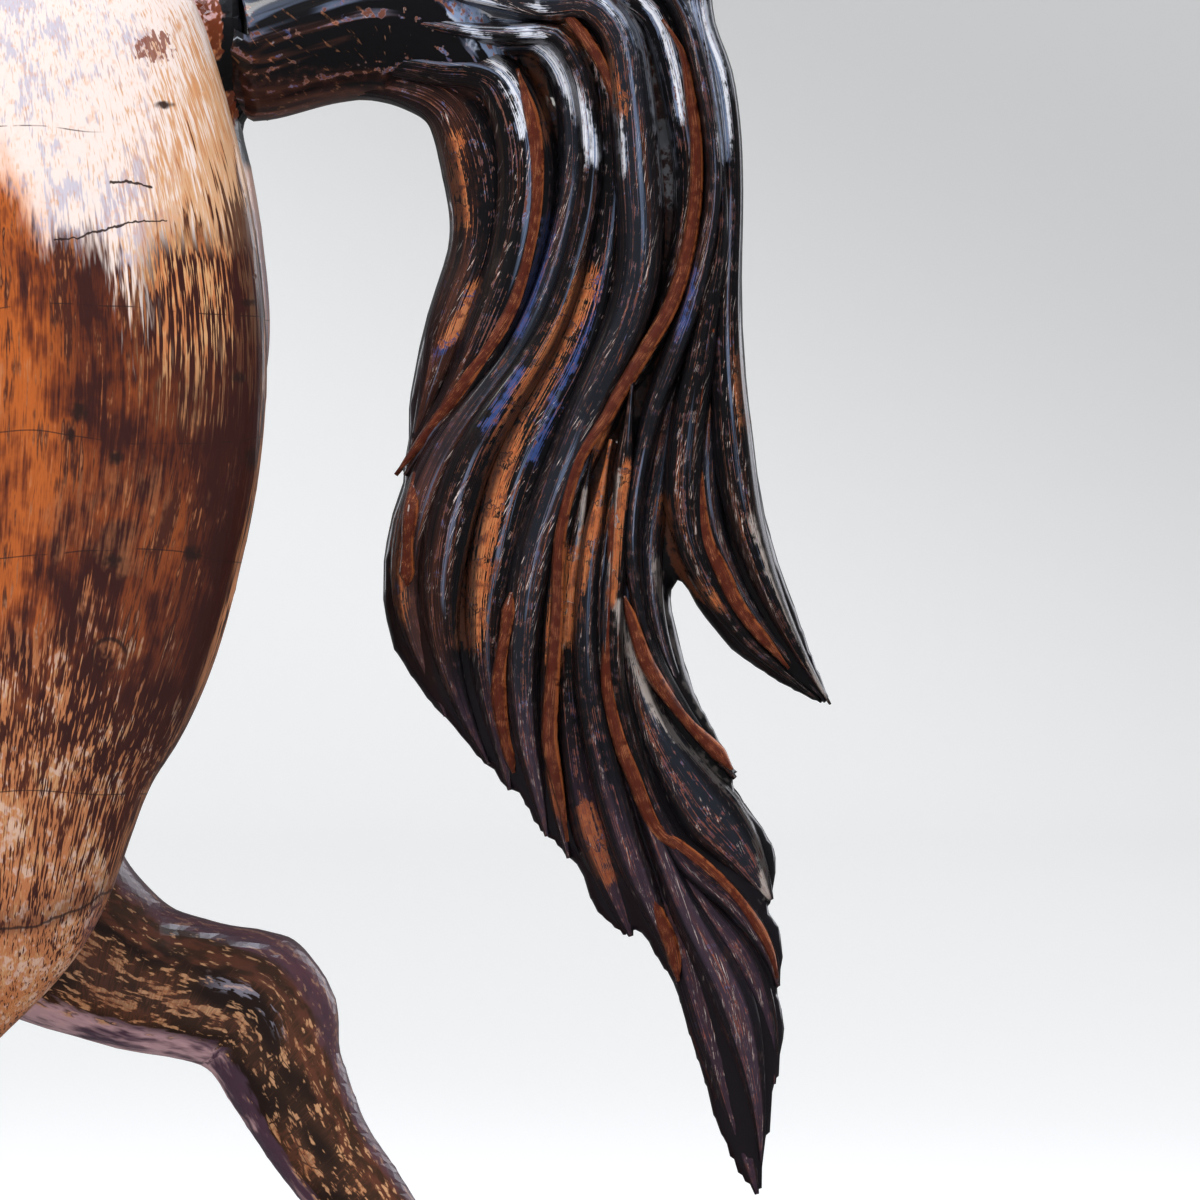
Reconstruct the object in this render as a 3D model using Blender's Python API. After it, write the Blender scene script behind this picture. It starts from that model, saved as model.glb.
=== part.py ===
"""Carved wooden horse, walking on a low wooden base, with a carved tail joined on at the rump.

Metres, +Z up. The horse faces -X and its near side is -Y. The origin is the middle of the base's underside.
"""

import math

import bmesh
import bpy
import numpy as np
from mathutils import Vector

# Driving dimensions, in metres
WITHERS_HEIGHT = 0.770  # top of the base to the withers
BASE_THICKNESS = 0.040
BASE_END_MARGIN = 0.026  # from the rearmost toe to the base's end
BASE_SIDE_MARGIN = 0.083  # from the hooves to the base's long sides
BASE_COVE = 0.012  # height and depth of the hollow moulding under the base's top edge
BASE_FILLET = 0.004  # flat step above and below the hollow
COVE_FACETS = 6
TOUCH_GAP = 0.0003  # between pieces that touch
SEAM_LEAN = math.radians(5.5)  # the tail's joint leans forward towards its top

# The figure is drawn on a grid of 185 units to the withers, with Z from the top of the base.
# One row is x, y, z, half depth in side view and half width across.
GRID = WITHERS_HEIGHT / 185
CARVING_GRAIN = 0.9  # size of the finest chisel facet, in grid units
TAIL_GRAIN = 0.62
HORSE_TRIANGLES = 6000
TAIL_TRIANGLES = 3700
ROWS_BETWEEN = 4  # extra rings between two drawn rows
SEAM_AT = 70.5  # the tail's joint, along X at dock height
STUB_OFFCUT = 7.2  # length of the block that is sawn off the stub

TRUNK = (
    (64.5, 0, 156, 9, 9),
    (58, 0, 153, 23, 20),
    (46, 0, 149.5, 32, 23),
    (28, 0, 149, 35, 25),
    (5, 0, 146.5, 35.5, 25),
    (-24, 0, 140.5, 37.5, 26.5),
    (-50, 0, 140.5, 39.5, 25.5),
    (-70, 0, 144, 40, 22),
    (-90, 0, 145, 31, 19),
    (-104, 0, 146, 20, 14),
    (-110, 0, 146, 9, 7),
)
TAIL_STUB = (
    (42, 0, 160, 9, 8),
    (58, 0, 165.5, 9.4, 8.2),
    (66, 0, 166.6, 8.2, 7.4),
    (75.5, 0, 167.2, 8.0, 7.2),
)
RUMP = (
    (44, 0, 168, 20, 15),
    (49, 0, 153, 21.2, 16),
    (49.5, 0, 143, 22.8, 15),
    (49, 0, 132, 22.6, 13),
    (46, 0, 112, 17, 8),
    (42, 0, 97, 8, 4),
)
NECK = (
    (-66, 0, 146, 30, 17),
    (-80, 0, 160, 30, 16.5),
    (-89, 0, 175, 27.5, 14),
    (-96.5, 0, 192, 22.5, 11.5),
    (-101.5, 0, 210, 17.5, 9.4),
    (-105, 0, 227, 13, 8),
    (-108, 0, 239, 10, 7),
    (-110, 0, 246, 6, 5),
)
HEAD = (
    (-105, 0, 246, 6, 4.5),
    (-111.5, 0, 243, 10, 7.4),
    (-118, 0, 235, 13, 8.8),
    (-123, 0, 226, 13.5, 8.4),
    (-128, 0, 215.5, 10.8, 6.9),
    (-132.5, 0, 205, 8.6, 5.6),
    (-136.5, 0, 195.5, 7.8, 5.6),
    (-139.5, 0, 188.5, 7.2, 5.8),
    (-141.6, 0, 183.5, 5.2, 4.4),
    (-142.6, 0, 181, 2, 2),
)
EAR = (
    (-109, 4.2, 247, 3.0, 2.4),
    (-110.2, 5.2, 252.5, 3.6, 2.2),
    (-111.2, 5.6, 258.5, 2.8, 1.6),
    (-112.4, 5.2, 265, 0.8, 0.7),
)
NEAR_HIND_LEG = (
    (35, -8, 176, 22, 6),
    (36.5, -10.9, 166, 29.2, 11),
    (40.5, -12.5, 137.5, 32.2, 14),
    (39.5, -12.5, 114.5, 30.5, 13.5),
    (38, -12.8, 96.5, 25.5, 11.5),
    (38, -13, 82.5, 19, 9.5),
    (34.5, -13, 69.5, 11.5, 7.2),
    (30.5, -13, 56.5, 7.4, 5.2),
    (26.7, -13, 48.5, 5.6, 4.4),
    (20, -13, 38, 4.4, 3.7),
    (12, -13, 25, 5.4, 4.6),
    (7.7, -13, 17.5, 4.4, 4.2),
    (4.3, -13, 11, 6.3, 6.0),
    (1.5, -13, 0, 8.6, 7.6),
    (1.2, -13, -2, 8.8, 7.8),
)
FAR_HIND_LEG = (
    (35, 8, 176, 22, 6),
    (36.5, 10.9, 166, 28, 11),
    (40, 12.5, 138, 30.4, 14),
    (37.5, 12.5, 115, 27, 13),
    (39.5, 12.5, 95.5, 19.5, 11),
    (47, 12.5, 80.5, 12.2, 9.2),
    (57, 12.6, 73.1, 8.2, 7.4),
    (64.4, 12.8, 70.8, 7.2, 6.0),
    (70.2, 13, 68.6, 7.0, 5.4),
    (73.2, 13, 62.8, 6.3, 4.8),
    (77, 13, 55.4, 5.3, 4.2),
    (80.9, 13, 50, 4.9, 3.9),
    (89.5, 13, 37.5, 4.5, 3.7),
    (97, 13, 25.5, 5.3, 4.5),
    (100, 13, 17.5, 4.4, 4.2),
    (102.1, 13, 11, 6.1, 5.9),
    (105.6, 13, 2.6, 8.2, 7.4),
)
NEAR_FORE_LEG = (
    (-74, -10, 170, 12, 6),
    (-84, -12, 150, 20, 10),
    (-86, -13, 130, 19, 10.5),
    (-78, -12.5, 110, 14.5, 9),
    (-76, -12.2, 96, 10.5, 7.8),
    (-75.5, -12, 80, 7.8, 6),
    (-75, -12, 66, 5.8, 4.9),
    (-75, -12, 59, 6.0, 5.2),
    (-74, -12, 51, 4.6, 4.2),
    (-72.5, -12, 40, 4.0, 3.6),
    (-70.5, -12, 26, 5.1, 4.5),
    (-73, -12, 18, 4.2, 4.1),
    (-75.8, -12, 11.5, 6.1, 5.9),
    (-79, -12, 0, 8.6, 7.6),
    (-79.5, -12, -2, 8.8, 7.8),
)
FAR_FORE_LEG = (
    (-74, 10, 170, 12, 6),
    (-84, 12, 150, 20, 10),
    (-87, 13, 130, 19, 10.5),
    (-84, 12.5, 114, 15, 9),
    (-92.5, 12.3, 103, 11, 7.6),
    (-104, 12, 96.5, 8.0, 6.0),
    (-113, 12, 91.5, 6.4, 5.0),
    (-118.5, 12, 86.5, 6.2, 5.3),
    (-120, 12, 79.5, 5.2, 4.4),
    (-118, 12, 67, 4.1, 3.6),
    (-113, 12, 52.5, 5.1, 4.5),
    (-107.5, 12, 46.5, 4.2, 4.1),
    (-103, 12, 42, 5.9, 5.7),
    (-96, 12, 34.5, 8.0, 7.2),
)
HOCK_POINTS = (((37, -13, 60.5), 3.6), ((73.6, 13, 72.2), 3.4))
# Rounded forms on both sides of the head: place and radii along the three axes
HEAD_FORMS = (
    ((-121.8, 7.8, 236.0), (2.7, 2.4, 2.4)),  # eye
    ((-119.6, 7.2, 240.2), (5.0, 2.6, 1.5)),  # brow
    ((-115.2, 5.6, 228.4), (8.4, 4.6, 10.2)),  # cheek
    ((-142.0, 4.7, 190.4), (2.1, 2.0, 2.8)),  # nostril
    ((-135.8, 1.6, 184.6), (4.0, 3.6, 3.2)),  # chin
)

# Mane: locks that leave the crest and sweep back down the neck
MANE_LOCKS = 12
MANE_FIRST, MANE_LAST = 0.95, 0.27  # where along the neck the locks leave the crest
MANE_SWEEP = 0.27  # how far along the neck a lock falls back
MANE_NEAR_REACH, MANE_FAR_REACH = math.radians(88), math.radians(-60)
MANE_HALF_WIDTH, MANE_HALF_THICKNESS = 2.7, 2.6
MANE_POINTS = 12

# Tail, drawn in grid units from the middle of the dock at the joint.
# The dock and the arch are a fan from its inner curve to its outer one.
TAIL_ORIGIN = (71.2, 166.5)
INNER_ARCH = ((0.5, -7.0), (8.5, -4.7), (15.0, -5.0))
OUTER_ARCH = ((0.5, 7.4), (21.5, 15.4), (42.0, 12.0))
# A lock is its share across the fan, then its own points, tip last.
FANNED_LOCKS = (
    (0.02, ((19.4, -7.6), (21.4, -13.5), (21.2, -20.5), (18.2, -28.5), (15.0, -41.0))),
    (0.12, ((24.0, -4.0), (26.9, -11.0), (26.3, -20.5), (21.9, -32.0), (14.8, -43.5))),
    (0.24, ((29.5, -1.6), (31.6, -13.0), (27.6, -28.0), (18.4, -42.0), (15.2, -55.0), (18.9, -67.6))),
    (0.30, ((31.0, -0.8), (33.4, -13.4), (29.8, -28.0), (21.4, -42.0), (18.4, -55.0), (20.0, -65.0), (23.2, -72.4))),
    (0.36, ((33.0, 0.2), (35.4, -14.0), (33.0, -29.0), (25.8, -44.0), (22.9, -60.0), (25.3, -75.0))),
    (0.48, ((35.6, 1.8), (38.0, -14.0), (37.6, -26.0), (32.3, -38.5), (27.6, -52.0), (26.6, -66.0), (29.0, -79.6))),
    (
        0.62,
        ((39.4, 3.0), (42.6, -8.0), (43.2, -17.0), (41.1, -27.0), (34.9, -38.0), (30.6, -49.0), (29.4, -64.0),
         (29.6, -73.5), (31.2, -81.8)),
    ),
    (
        0.74,
        ((41.8, 3.8), (45.6, -12.0), (43.9, -25.0), (39.4, -38.0), (37.4, -50.0), (39.3, -61.0), (43.8, -69.0),
         (47.8, -73.8)),
    ),
    (0.80, ((42.8, 3.6), (45.7, -14.0), (43.6, -28.0), (40.2, -43.0), (39.2, -53.0), (41.0, -62.0), (45.4, -71.0))),
    (
        0.89,
        ((44.2, 3.2), (46.4, -16.0), (44.7, -29.0), (42.8, -41.0), (43.4, -50.5), (48.4, -59.4), (56.4, -66.2)),
    ),
    (0.95, ((44.8, 2.2), (46.2, -19.0), (45.2, -33.0), (45.0, -46.0), (49.0, -56.4), (56.8, -66.2))),
    (1.0, ((45.0, 1.0), (46.4, -16.0), (45.9, -34.0), (47.5, -47.6), (51.2, -56.4), (57.3, -66.4))),
)
# These locks rise from under the others halfway down.
RISING_LOCKS = (
    ((33.6, -41.0), (31.6, -52.0), (31.2, -63.0), (33.0, -76.0), (37.4, -89.6)),
    ((35.4, -40.0), (33.2, -53.0), (33.2, -65.0), (36.5, -79.0), (40.7, -89.6), (42.1, -94.6)),
    ((36.4, -41.0), (34.4, -54.0), (34.9, -66.0), (39.3, -81.0), (44.8, -97.0), (47.8, -107.0), (50.0, -115.4)),
    ((36.8, -44.0), (35.0, -56.0), (36.0, -68.0), (41.6, -84.0), (47.6, -96.0), (50.0, -106.0), (50.4, -112.0)),
    ((37.2, -42.0), (35.4, -55.0), (36.0, -67.0), (41.6, -82.0), (48.4, -91.6), (50.9, -98.0), (51.7, -104.4)),
    ((37.6, -33.0), (36.0, -53.0), (36.3, -66.0), (41.5, -80.2), (47.6, -86.2), (51.0, -91.0), (52.1, -94.6)),
    ((38.0, -44.0), (36.9, -56.0), (38.9, -67.0), (43.8, -75.6), (48.2, -81.0), (51.4, -86.0)),
)
CORDED_LOCKS = (1, 5, 6, 9, 13, 17)  # locks with a narrow raised cord along their crest
EDGE_LOCKS = (11, 16, 18)  # locks along the tail's back edge, with two strands that stand out from it
EDGE_STRAND_PLACE, EDGE_STRAND_RADIUS = 0.4, 1.25
TAIL_HALF_THICKNESS = 7.2  # through the arch, in grid units
TIP_HALF_THICKNESS = 1.1
CORD_RADIUS = 0.8
LOCK_OVERLAP = 0.92  # half width of a lock, as a share of the distance to its neighbours
LOCK_WIDTHS = (0.9, 3.7)  # narrowest and widest half width
LOCK_POINTS = 26
# Across its thickness a lock is a core and three strands: place, half thickness and width as shares of the lock's.
LOCK_STRANDS = ((0.0, 0.88, 0.66), (-0.6, 0.4, 1.0), (0.0, 0.4, 1.0), (0.6, 0.4, 1.0))

COATS = {
    "horse": ((0.42, 0.17, 0.07), 0.35),
    "tail": ((0.035, 0.03, 0.03), 0.4),
    "base": ((0.20, 0.11, 0.06), 0.5),
}


def in_frame(x, y, z):
    """A point of the drawing's grid, in metres in the part's frame."""
    return np.array((x * GRID, y * GRID, BASE_THICKNESS + z * GRID))


def smooth_rows(rows, between=ROWS_BETWEEN):
    """The drawn rows with rings added between them on one smooth curve (Catmull-Rom)."""
    rows = np.array(rows, float)
    ends = np.vstack([2 * rows[0] - rows[1], rows, 2 * rows[-1] - rows[-2]])
    made = []
    for before, start, stop, after in zip(ends, ends[1:], ends[2:], ends[3:]):
        for t in np.arange(between) / between:
            made.append(
                0.5 * (2 * start + (stop - before) * t
                       + (2 * before - 5 * start + 4 * stop - after) * t**2
                       + (3 * start - before - 3 * stop + after) * t**3)
            )
    return np.vstack([made, rows[-1:]])


def evenly_along(points, count):
    """The same polyline with its points evenly spaced."""
    steps = np.linalg.norm(np.diff(points, axis=0), axis=1)
    along = np.concatenate([[0], np.cumsum(steps)])
    wanted = np.linspace(0, along[-1], count)
    return np.column_stack([np.interp(wanted, along, column) for column in points.T])


def tube(bm, centres, outward, across, out, sides=16):
    """A closed tube with oval rings: half width `out` along the outward direction, `across` square to it."""
    centres = np.asarray(centres, float)
    tangents = np.gradient(centres, axis=0)
    tangents /= np.linalg.norm(tangents, axis=1)[:, None]
    outward = np.broadcast_to(outward, centres.shape)
    out_dirs = outward - (outward * tangents).sum(1)[:, None] * tangents
    out_dirs /= np.linalg.norm(out_dirs, axis=1)[:, None]
    across_dirs = np.cross(tangents, out_dirs)
    angles = np.arange(sides) * 2 * math.pi / sides
    ring = bmesh.ops.create_circle(bm, segments=sides, radius=1, cap_ends=False)["verts"]
    edges = list({edge for vert in ring for edge in vert.link_edges})
    bmesh.ops.contextual_create(bm, geom=edges)
    for row, (centre, a, o) in enumerate(zip(centres, across_dirs, out_dirs)):
        if row:
            made = bmesh.ops.extrude_edge_only(bm, edges=edges)["geom"]
            edges = [item for item in made if isinstance(item, bmesh.types.BMEdge)]
            ring = ring_in_order(made, ring)
        for vert, angle in zip(ring, angles):
            vert.co = Vector(centre + a * across[row] * math.cos(angle) + o * out[row] * math.sin(angle))
    bmesh.ops.contextual_create(bm, geom=edges)


def ring_in_order(extruded, ring_before):
    """The new ring's vertices, each in the place of the one that it was extruded from."""
    new = {item for item in extruded if isinstance(item, bmesh.types.BMVert)}
    ordered = []
    for vert in ring_before:
        ordered.append(next(e.other_vert(vert) for e in vert.link_edges if e.other_vert(vert) in new))
    return ordered


def limb(bm, rows, sides=20):
    """A carved limb or trunk through drawn rows, its rings square to its line."""
    rows = smooth_rows(rows)
    centres = np.array([in_frame(*row[:3]) for row in rows])
    tube(bm, centres, (0.0, 1.0, 0.0), rows[:, 3] * GRID, rows[:, 4] * GRID, sides)


def mirrored(rows):
    return tuple((row[0], -row[1], *row[2:]) for row in rows)


def rounded(bm, place, radii):
    made = bmesh.ops.create_icosphere(bm, subdivisions=3, radius=GRID)["verts"]
    bmesh.ops.scale(bm, verts=made, vec=Vector(radii))
    bmesh.ops.translate(bm, verts=made, vec=Vector(in_frame(*place)))


def neck_surface(share, angle, lift):
    """(point, outward) on the neck: share 0 to 1 from chest to poll, angle 0 at the crest, positive on the near side."""
    rows = smooth_rows(NECK)
    at = np.clip(share, 0, 1) * (len(rows) - 1)
    low = min(int(at), len(rows) - 2)
    row = rows[low] + (rows[low + 1] - rows[low]) * (at - low)
    tangent = (rows[low + 1] - rows[low])[:3]
    crest = np.array((tangent[2], 0, -tangent[0])) / np.linalg.norm(tangent)
    near = np.array((0.0, -1.0, 0.0))
    outward = crest * math.cos(angle) / row[3] + near * math.sin(angle) / row[4]
    outward /= np.linalg.norm(outward)
    point = row[:3] + crest * row[3] * math.cos(angle) + near * row[4] * math.sin(angle)
    return in_frame(*(point + outward * lift)), outward


def mane_lock(bm, start, reach, sweep, wave, width, thickness):
    """One lock, from the crest down and back along the neck, thin at its tip."""
    t = np.linspace(0, 1, MANE_POINTS)
    shares = start - sweep * t**1.2
    angles = reach * t**0.8 + wave * np.sin(t * math.pi * 1.6)
    spots = [neck_surface(s, a, 0.7 + 1.0 * math.sin(math.pi * u)) for s, a, u in zip(shares, angles, t)]
    taper = np.clip(np.sin(math.pi * (0.22 + 0.76 * t)), 0.12, 1)
    centres = np.array([spot[0] for spot in spots])
    tube(bm, centres, np.array([spot[1] for spot in spots]), width * GRID * taper, thickness * GRID * taper, 10)


def mane(bm):
    """The crest ridge and its locks, longer on the near side."""
    crest = [neck_surface(share, 0.0, -0.6) for share in np.linspace(0.30, 0.99, 16)]
    thick = np.full(len(crest), 2.4 * GRID)
    thick[0] = thick[-1] = 1.2 * GRID
    tube(bm, [spot[0] for spot in crest], np.array([spot[1] for spot in crest]), thick, thick, 12)
    for number, start in enumerate(np.linspace(MANE_FIRST, MANE_LAST, MANE_LOCKS)):
        ripple = math.radians(9) * math.sin(2.1 * number)
        reach = MANE_NEAR_REACH * (1 - 0.14 * (number % 3)) - ripple
        room = min(MANE_SWEEP, start - 0.16)
        mane_lock(bm, start, reach, room, ripple, MANE_HALF_WIDTH, MANE_HALF_THICKNESS)
        mane_lock(bm, start - 0.02, MANE_FAR_REACH - ripple, room * 0.8, ripple, MANE_HALF_WIDTH, MANE_HALF_THICKNESS)


def forelock(bm):
    """Three short locks between the ears, lying on the forehead."""
    for side in (-1, 0, 1):
        rows = (
            (-111, side * 1.4, 252, 1.6, 1.6),
            (-118, side * 2.0, 251, 2.2, 2.0),
            (-125, side * 2.8, 246.5, 2.4, 1.9),
            (-130, side * 3.6, 239, 1.8, 1.5),
            (-131.4, side * 4.4, 232, 0.7, 0.7),
        )
        limb(bm, rows, 10)


def union_of(name, bm, grain, smoothing, triangles):
    """One closed carved solid from overlapping shapes, with its joints worked over and its facets cut to a budget."""
    mesh = bpy.data.meshes.new(name)
    bm.to_mesh(mesh)
    bm.free()
    obj = bpy.data.objects.new(name, mesh)
    bpy.context.scene.collection.objects.link(obj)
    merge = obj.modifiers.new("One body", "REMESH")
    merge.mode = "VOXEL"
    merge.voxel_size = grain * GRID
    ease = obj.modifiers.new("Worked joints", "SMOOTH")
    ease.iterations = smoothing
    apply_modifiers(obj)
    fewer = obj.modifiers.new("Facets", "DECIMATE")
    fewer.ratio = min(1.0, triangles / (2 * len(obj.data.polygons)))
    apply_modifiers(obj)
    return obj


def apply_modifiers(obj):
    """Replaces the object's mesh with the evaluated one."""
    graph = bpy.context.evaluated_depsgraph_get()
    made = bpy.data.meshes.new_from_object(obj.evaluated_get(graph))
    obj.modifiers.clear()
    before = obj.data
    obj.data = made
    made.name = obj.name
    bpy.data.meshes.remove(before)


def cut_flat(obj, point, outward):
    """Cuts away what is past a plane, and closes the cut."""
    bm = bmesh.new()
    bm.from_mesh(obj.data)
    geometry = bm.verts[:] + bm.edges[:] + bm.faces[:]
    cut = bmesh.ops.bisect_plane(
        bm, geom=geometry, dist=1e-6, plane_co=Vector(point), plane_no=Vector(outward), clear_outer=True
    )
    rim = [item for item in cut["geom_cut"] if isinstance(item, bmesh.types.BMEdge)]
    bmesh.ops.holes_fill(bm, edges=rim, sides=0)
    bmesh.ops.triangulate(bm, faces=[face for face in bm.faces if len(face.verts) > 4])
    bm.to_mesh(obj.data)
    bm.free()


def seam_plane(gap):
    """(point, direction) of the tail's joint, moved away from the rump by gap."""
    outward = np.array((math.cos(SEAM_LEAN), 0.0, math.sin(SEAM_LEAN)))
    return in_frame(SEAM_AT, 0, TAIL_ORIGIN[1]) + outward * gap, outward


def saw_stub(horse):
    """Saws the stub off square at the joint with a block that clears the haunches."""
    point, outward = seam_plane(0.0)
    length = STUB_OFFCUT * GRID
    side = 2.6 * TAIL_STUB[-1][3] * GRID
    bm = bmesh.new()
    bmesh.ops.create_cube(bm, size=1)
    bmesh.ops.scale(bm, vec=Vector((length, side, side)), verts=bm.verts)
    bmesh.ops.translate(bm, vec=Vector((length / 2, 0, 0)), verts=bm.verts)
    mesh = bpy.data.meshes.new("stub_saw")
    bm.to_mesh(mesh)
    bm.free()
    saw = bpy.data.objects.new("stub_saw", mesh)
    saw.location = Vector(point)
    saw.rotation_euler = (0, -SEAM_LEAN, 0)
    saw.hide_render = True
    saw.display_type = "WIRE"
    bpy.context.scene.collection.objects.link(saw)
    cut = horse.modifiers.new("Joint face", "BOOLEAN")
    cut.operation = "DIFFERENCE"
    cut.object = saw


def carve_horse():
    bm = bmesh.new()
    for rows in (TRUNK, RUMP, TAIL_STUB, NECK, HEAD, EAR, mirrored(EAR)):
        limb(bm, rows)
    for rows in (NEAR_HIND_LEG, FAR_HIND_LEG, NEAR_FORE_LEG, FAR_FORE_LEG):
        limb(bm, rows)
    for place, radius in HOCK_POINTS:
        rounded(bm, place, (radius, radius, radius))
    for (x, y, z), radii in HEAD_FORMS:
        rounded(bm, (x, y, z), radii)
        rounded(bm, (x, -y, z), radii)
    mane(bm)
    forelock(bm)
    horse = union_of("horse", bm, CARVING_GRAIN, 4, HORSE_TRIANGLES)
    cut_flat(horse, (0, 0, BASE_THICKNESS + TOUCH_GAP), (0, 0, -1))
    saw_stub(horse)
    return horse


def lock_lines():
    """Each lock's line in the tail's plane, as points evenly spaced in grid units."""
    drawn = []
    for share, points in FANNED_LOCKS:
        fan = [np.add(np.multiply(inner, 1 - share), np.multiply(outer, share))
               for inner, outer in zip(INNER_ARCH, OUTER_ARCH)]
        drawn.append(np.vstack([fan, points]))
    drawn += [np.array(points, float) for points in RISING_LOCKS]
    return [evenly_along(smooth_rows(points, 6), LOCK_POINTS) for points in drawn]


def lock_half_widths(lines):
    """Half width of each lock at each point, from the distance to the nearest other lock."""
    widths = []
    for number, line in enumerate(lines):
        others = np.vstack([other for n, other in enumerate(lines) if n != number])
        nearest = np.linalg.norm(line[:, None] - others[None], axis=2).min(1)
        wide = np.clip(nearest * LOCK_OVERLAP, *LOCK_WIDTHS)
        smoothed = np.convolve(np.pad(wide, 3, mode="edge"), np.ones(7) / 7, "valid")
        widths.append(smoothed)
    return widths


def back_edge(line):
    """Directions in the tail's plane, square to a lock's line and towards the tail's back edge."""
    along = np.gradient(line, axis=0)
    along /= np.linalg.norm(along, axis=1)[:, None]
    return np.column_stack([-along[:, 1], np.zeros(len(line)), along[:, 0]])


def tail_half_thickness(line):
    """Half thickness of the tail at each point of a lock: full over the arch, thin towards the tips."""
    fall = np.clip((line[:, 1] + 4) / (min(TIP_DROP) + 4), 0, 1)
    return TAIL_HALF_THICKNESS + (TIP_HALF_THICKNESS - TAIL_HALF_THICKNESS) * fall**1.25


TIP_DROP = tuple(points[-1][1] for points in RISING_LOCKS)


def carve_tail():
    """The tail: a bundle of locks, each right through its thickness, with cords along some of them."""
    bm = bmesh.new()
    lines = lock_lines()
    count = len(FANNED_LOCKS)
    for number, (line, wide) in enumerate(zip(lines, lock_half_widths(lines))):
        t = np.linspace(0, 1, LOCK_POINTS)
        end = np.clip((1 - t) / 0.22, 0, 1) ** 0.6
        start = 1.0 if number < count else np.clip(t / 0.15, 0.3, 1)
        taper = np.maximum(end * start, 0.16)
        share = FANNED_LOCKS[number][0] if number < count else 0.5
        edge = math.sqrt(1 - (0.86 * (2 * share - 1)) ** 2) * (1 - t) + t
        thick = np.maximum(tail_half_thickness(line) * edge * np.maximum(end, 0.3), 0.7)
        lean = 0.55 * (-1) ** number
        centres = np.array([in_frame(TAIL_ORIGIN[0] + x, lean * w, TAIL_ORIGIN[1] + z)
                            for (x, z), w in zip(line, taper)])
        for place, thin, narrow in LOCK_STRANDS:
            line_of_strand = centres + np.outer(place * thick * GRID, (0, 1, 0))
            tube(bm, line_of_strand, (0.0, 1.0, 0.0), narrow * wide * taper * GRID, thin * thick * GRID, 12)
        if number in EDGE_LOCKS:
            for side in (-1, 1):
                edge_strand = centres + np.outer(side * EDGE_STRAND_PLACE * thick * GRID, (0, 1, 0))
                edge_strand += back_edge(line) * (0.6 * wide * taper * GRID)[:, None]
                radius = EDGE_STRAND_RADIUS * GRID * np.clip(taper, 0.3, 1)
                tube(bm, edge_strand, (0.0, 1.0, 0.0), radius, radius, 10)
        if number not in CORDED_LOCKS:
            continue
        for side in (-1, 1):
            shown = slice(5 if number < count else 0, LOCK_POINTS)
            cord = centres[shown] + np.array((0, side, 0)) * (thick[shown, None] - 0.1) * GRID
            radius = CORD_RADIUS * GRID * np.clip(taper[shown], 0.4, 1)
            tube(bm, cord, (0.0, 1.0, 0.0), radius, radius, 8)
    tail = union_of("tail", bm, TAIL_GRAIN, 2, TAIL_TRIANGLES)
    point, outward = seam_plane(TOUCH_GAP)
    cut_flat(tail, point, -outward)
    return tail


def make_base():
    """A low slab with a hollow moulding round its top edge."""
    toe = FAR_HIND_LEG[-1]
    hoof = NEAR_HIND_LEG[-1]
    half_x = (toe[0] + toe[3]) * GRID + BASE_END_MARGIN
    half_y = (hoof[4] - hoof[1]) * GRID + BASE_SIDE_MARGIN
    bm = bmesh.new()
    profile = [(0.0, 0.0), (0.0, BASE_THICKNESS - BASE_COVE - BASE_FILLET)]
    for facet in range(COVE_FACETS + 1):
        angle = facet / COVE_FACETS * math.pi / 2
        profile.append(
            (BASE_FILLET + BASE_COVE * (1 - math.cos(angle)),
             BASE_THICKNESS - BASE_COVE - BASE_FILLET + BASE_COVE * math.sin(angle))
        )
    profile.append((BASE_FILLET + BASE_COVE, BASE_THICKNESS))
    bmesh.ops.create_grid(bm, x_segments=1, y_segments=1, size=1)
    face = bm.faces[:][0]
    floor = face
    for row, (inset, height) in enumerate(profile):
        if row:
            made = bmesh.ops.extrude_face_region(bm, geom=[face])["geom"]
            old = face
            face = next(item for item in made if isinstance(item, bmesh.types.BMFace))
            if old is not floor:
                bmesh.ops.delete(bm, geom=[old], context="FACES_ONLY")
        for vert in face.verts:
            vert.co = Vector(
                (math.copysign(half_x - inset, vert.co.x), math.copysign(half_y - inset, vert.co.y), height)
            )
    bmesh.ops.recalc_face_normals(bm, faces=bm.faces)
    mesh = bpy.data.meshes.new("base")
    bm.to_mesh(mesh)
    bm.free()
    base = bpy.data.objects.new("base", mesh)
    bpy.context.scene.collection.objects.link(base)
    return base


def paint(obj):
    colour, roughness = COATS[obj.name]
    material = bpy.data.materials.new(obj.name)
    material.use_nodes = True
    shader = material.node_tree.nodes["Principled BSDF"]
    shader.inputs["Base Color"].default_value = (*colour, 1)
    shader.inputs["Roughness"].default_value = roughness
    shader.inputs["Metallic"].default_value = 0
    obj.data.materials.clear()
    obj.data.materials.append(material)


def main():
    for obj in list(bpy.data.objects):
        bpy.data.objects.remove(obj)
    for piece in (carve_horse(), carve_tail(), make_base()):
        paint(piece)


main()
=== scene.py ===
"""Carved wooden horse, walking on a low wooden base, with a carved and painted tail: its shapes and finishes.

Laid out as a Blender add-on, and run as a script. Metres, +Z up. The horse faces -X and its near side is -Y.
"""

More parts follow.
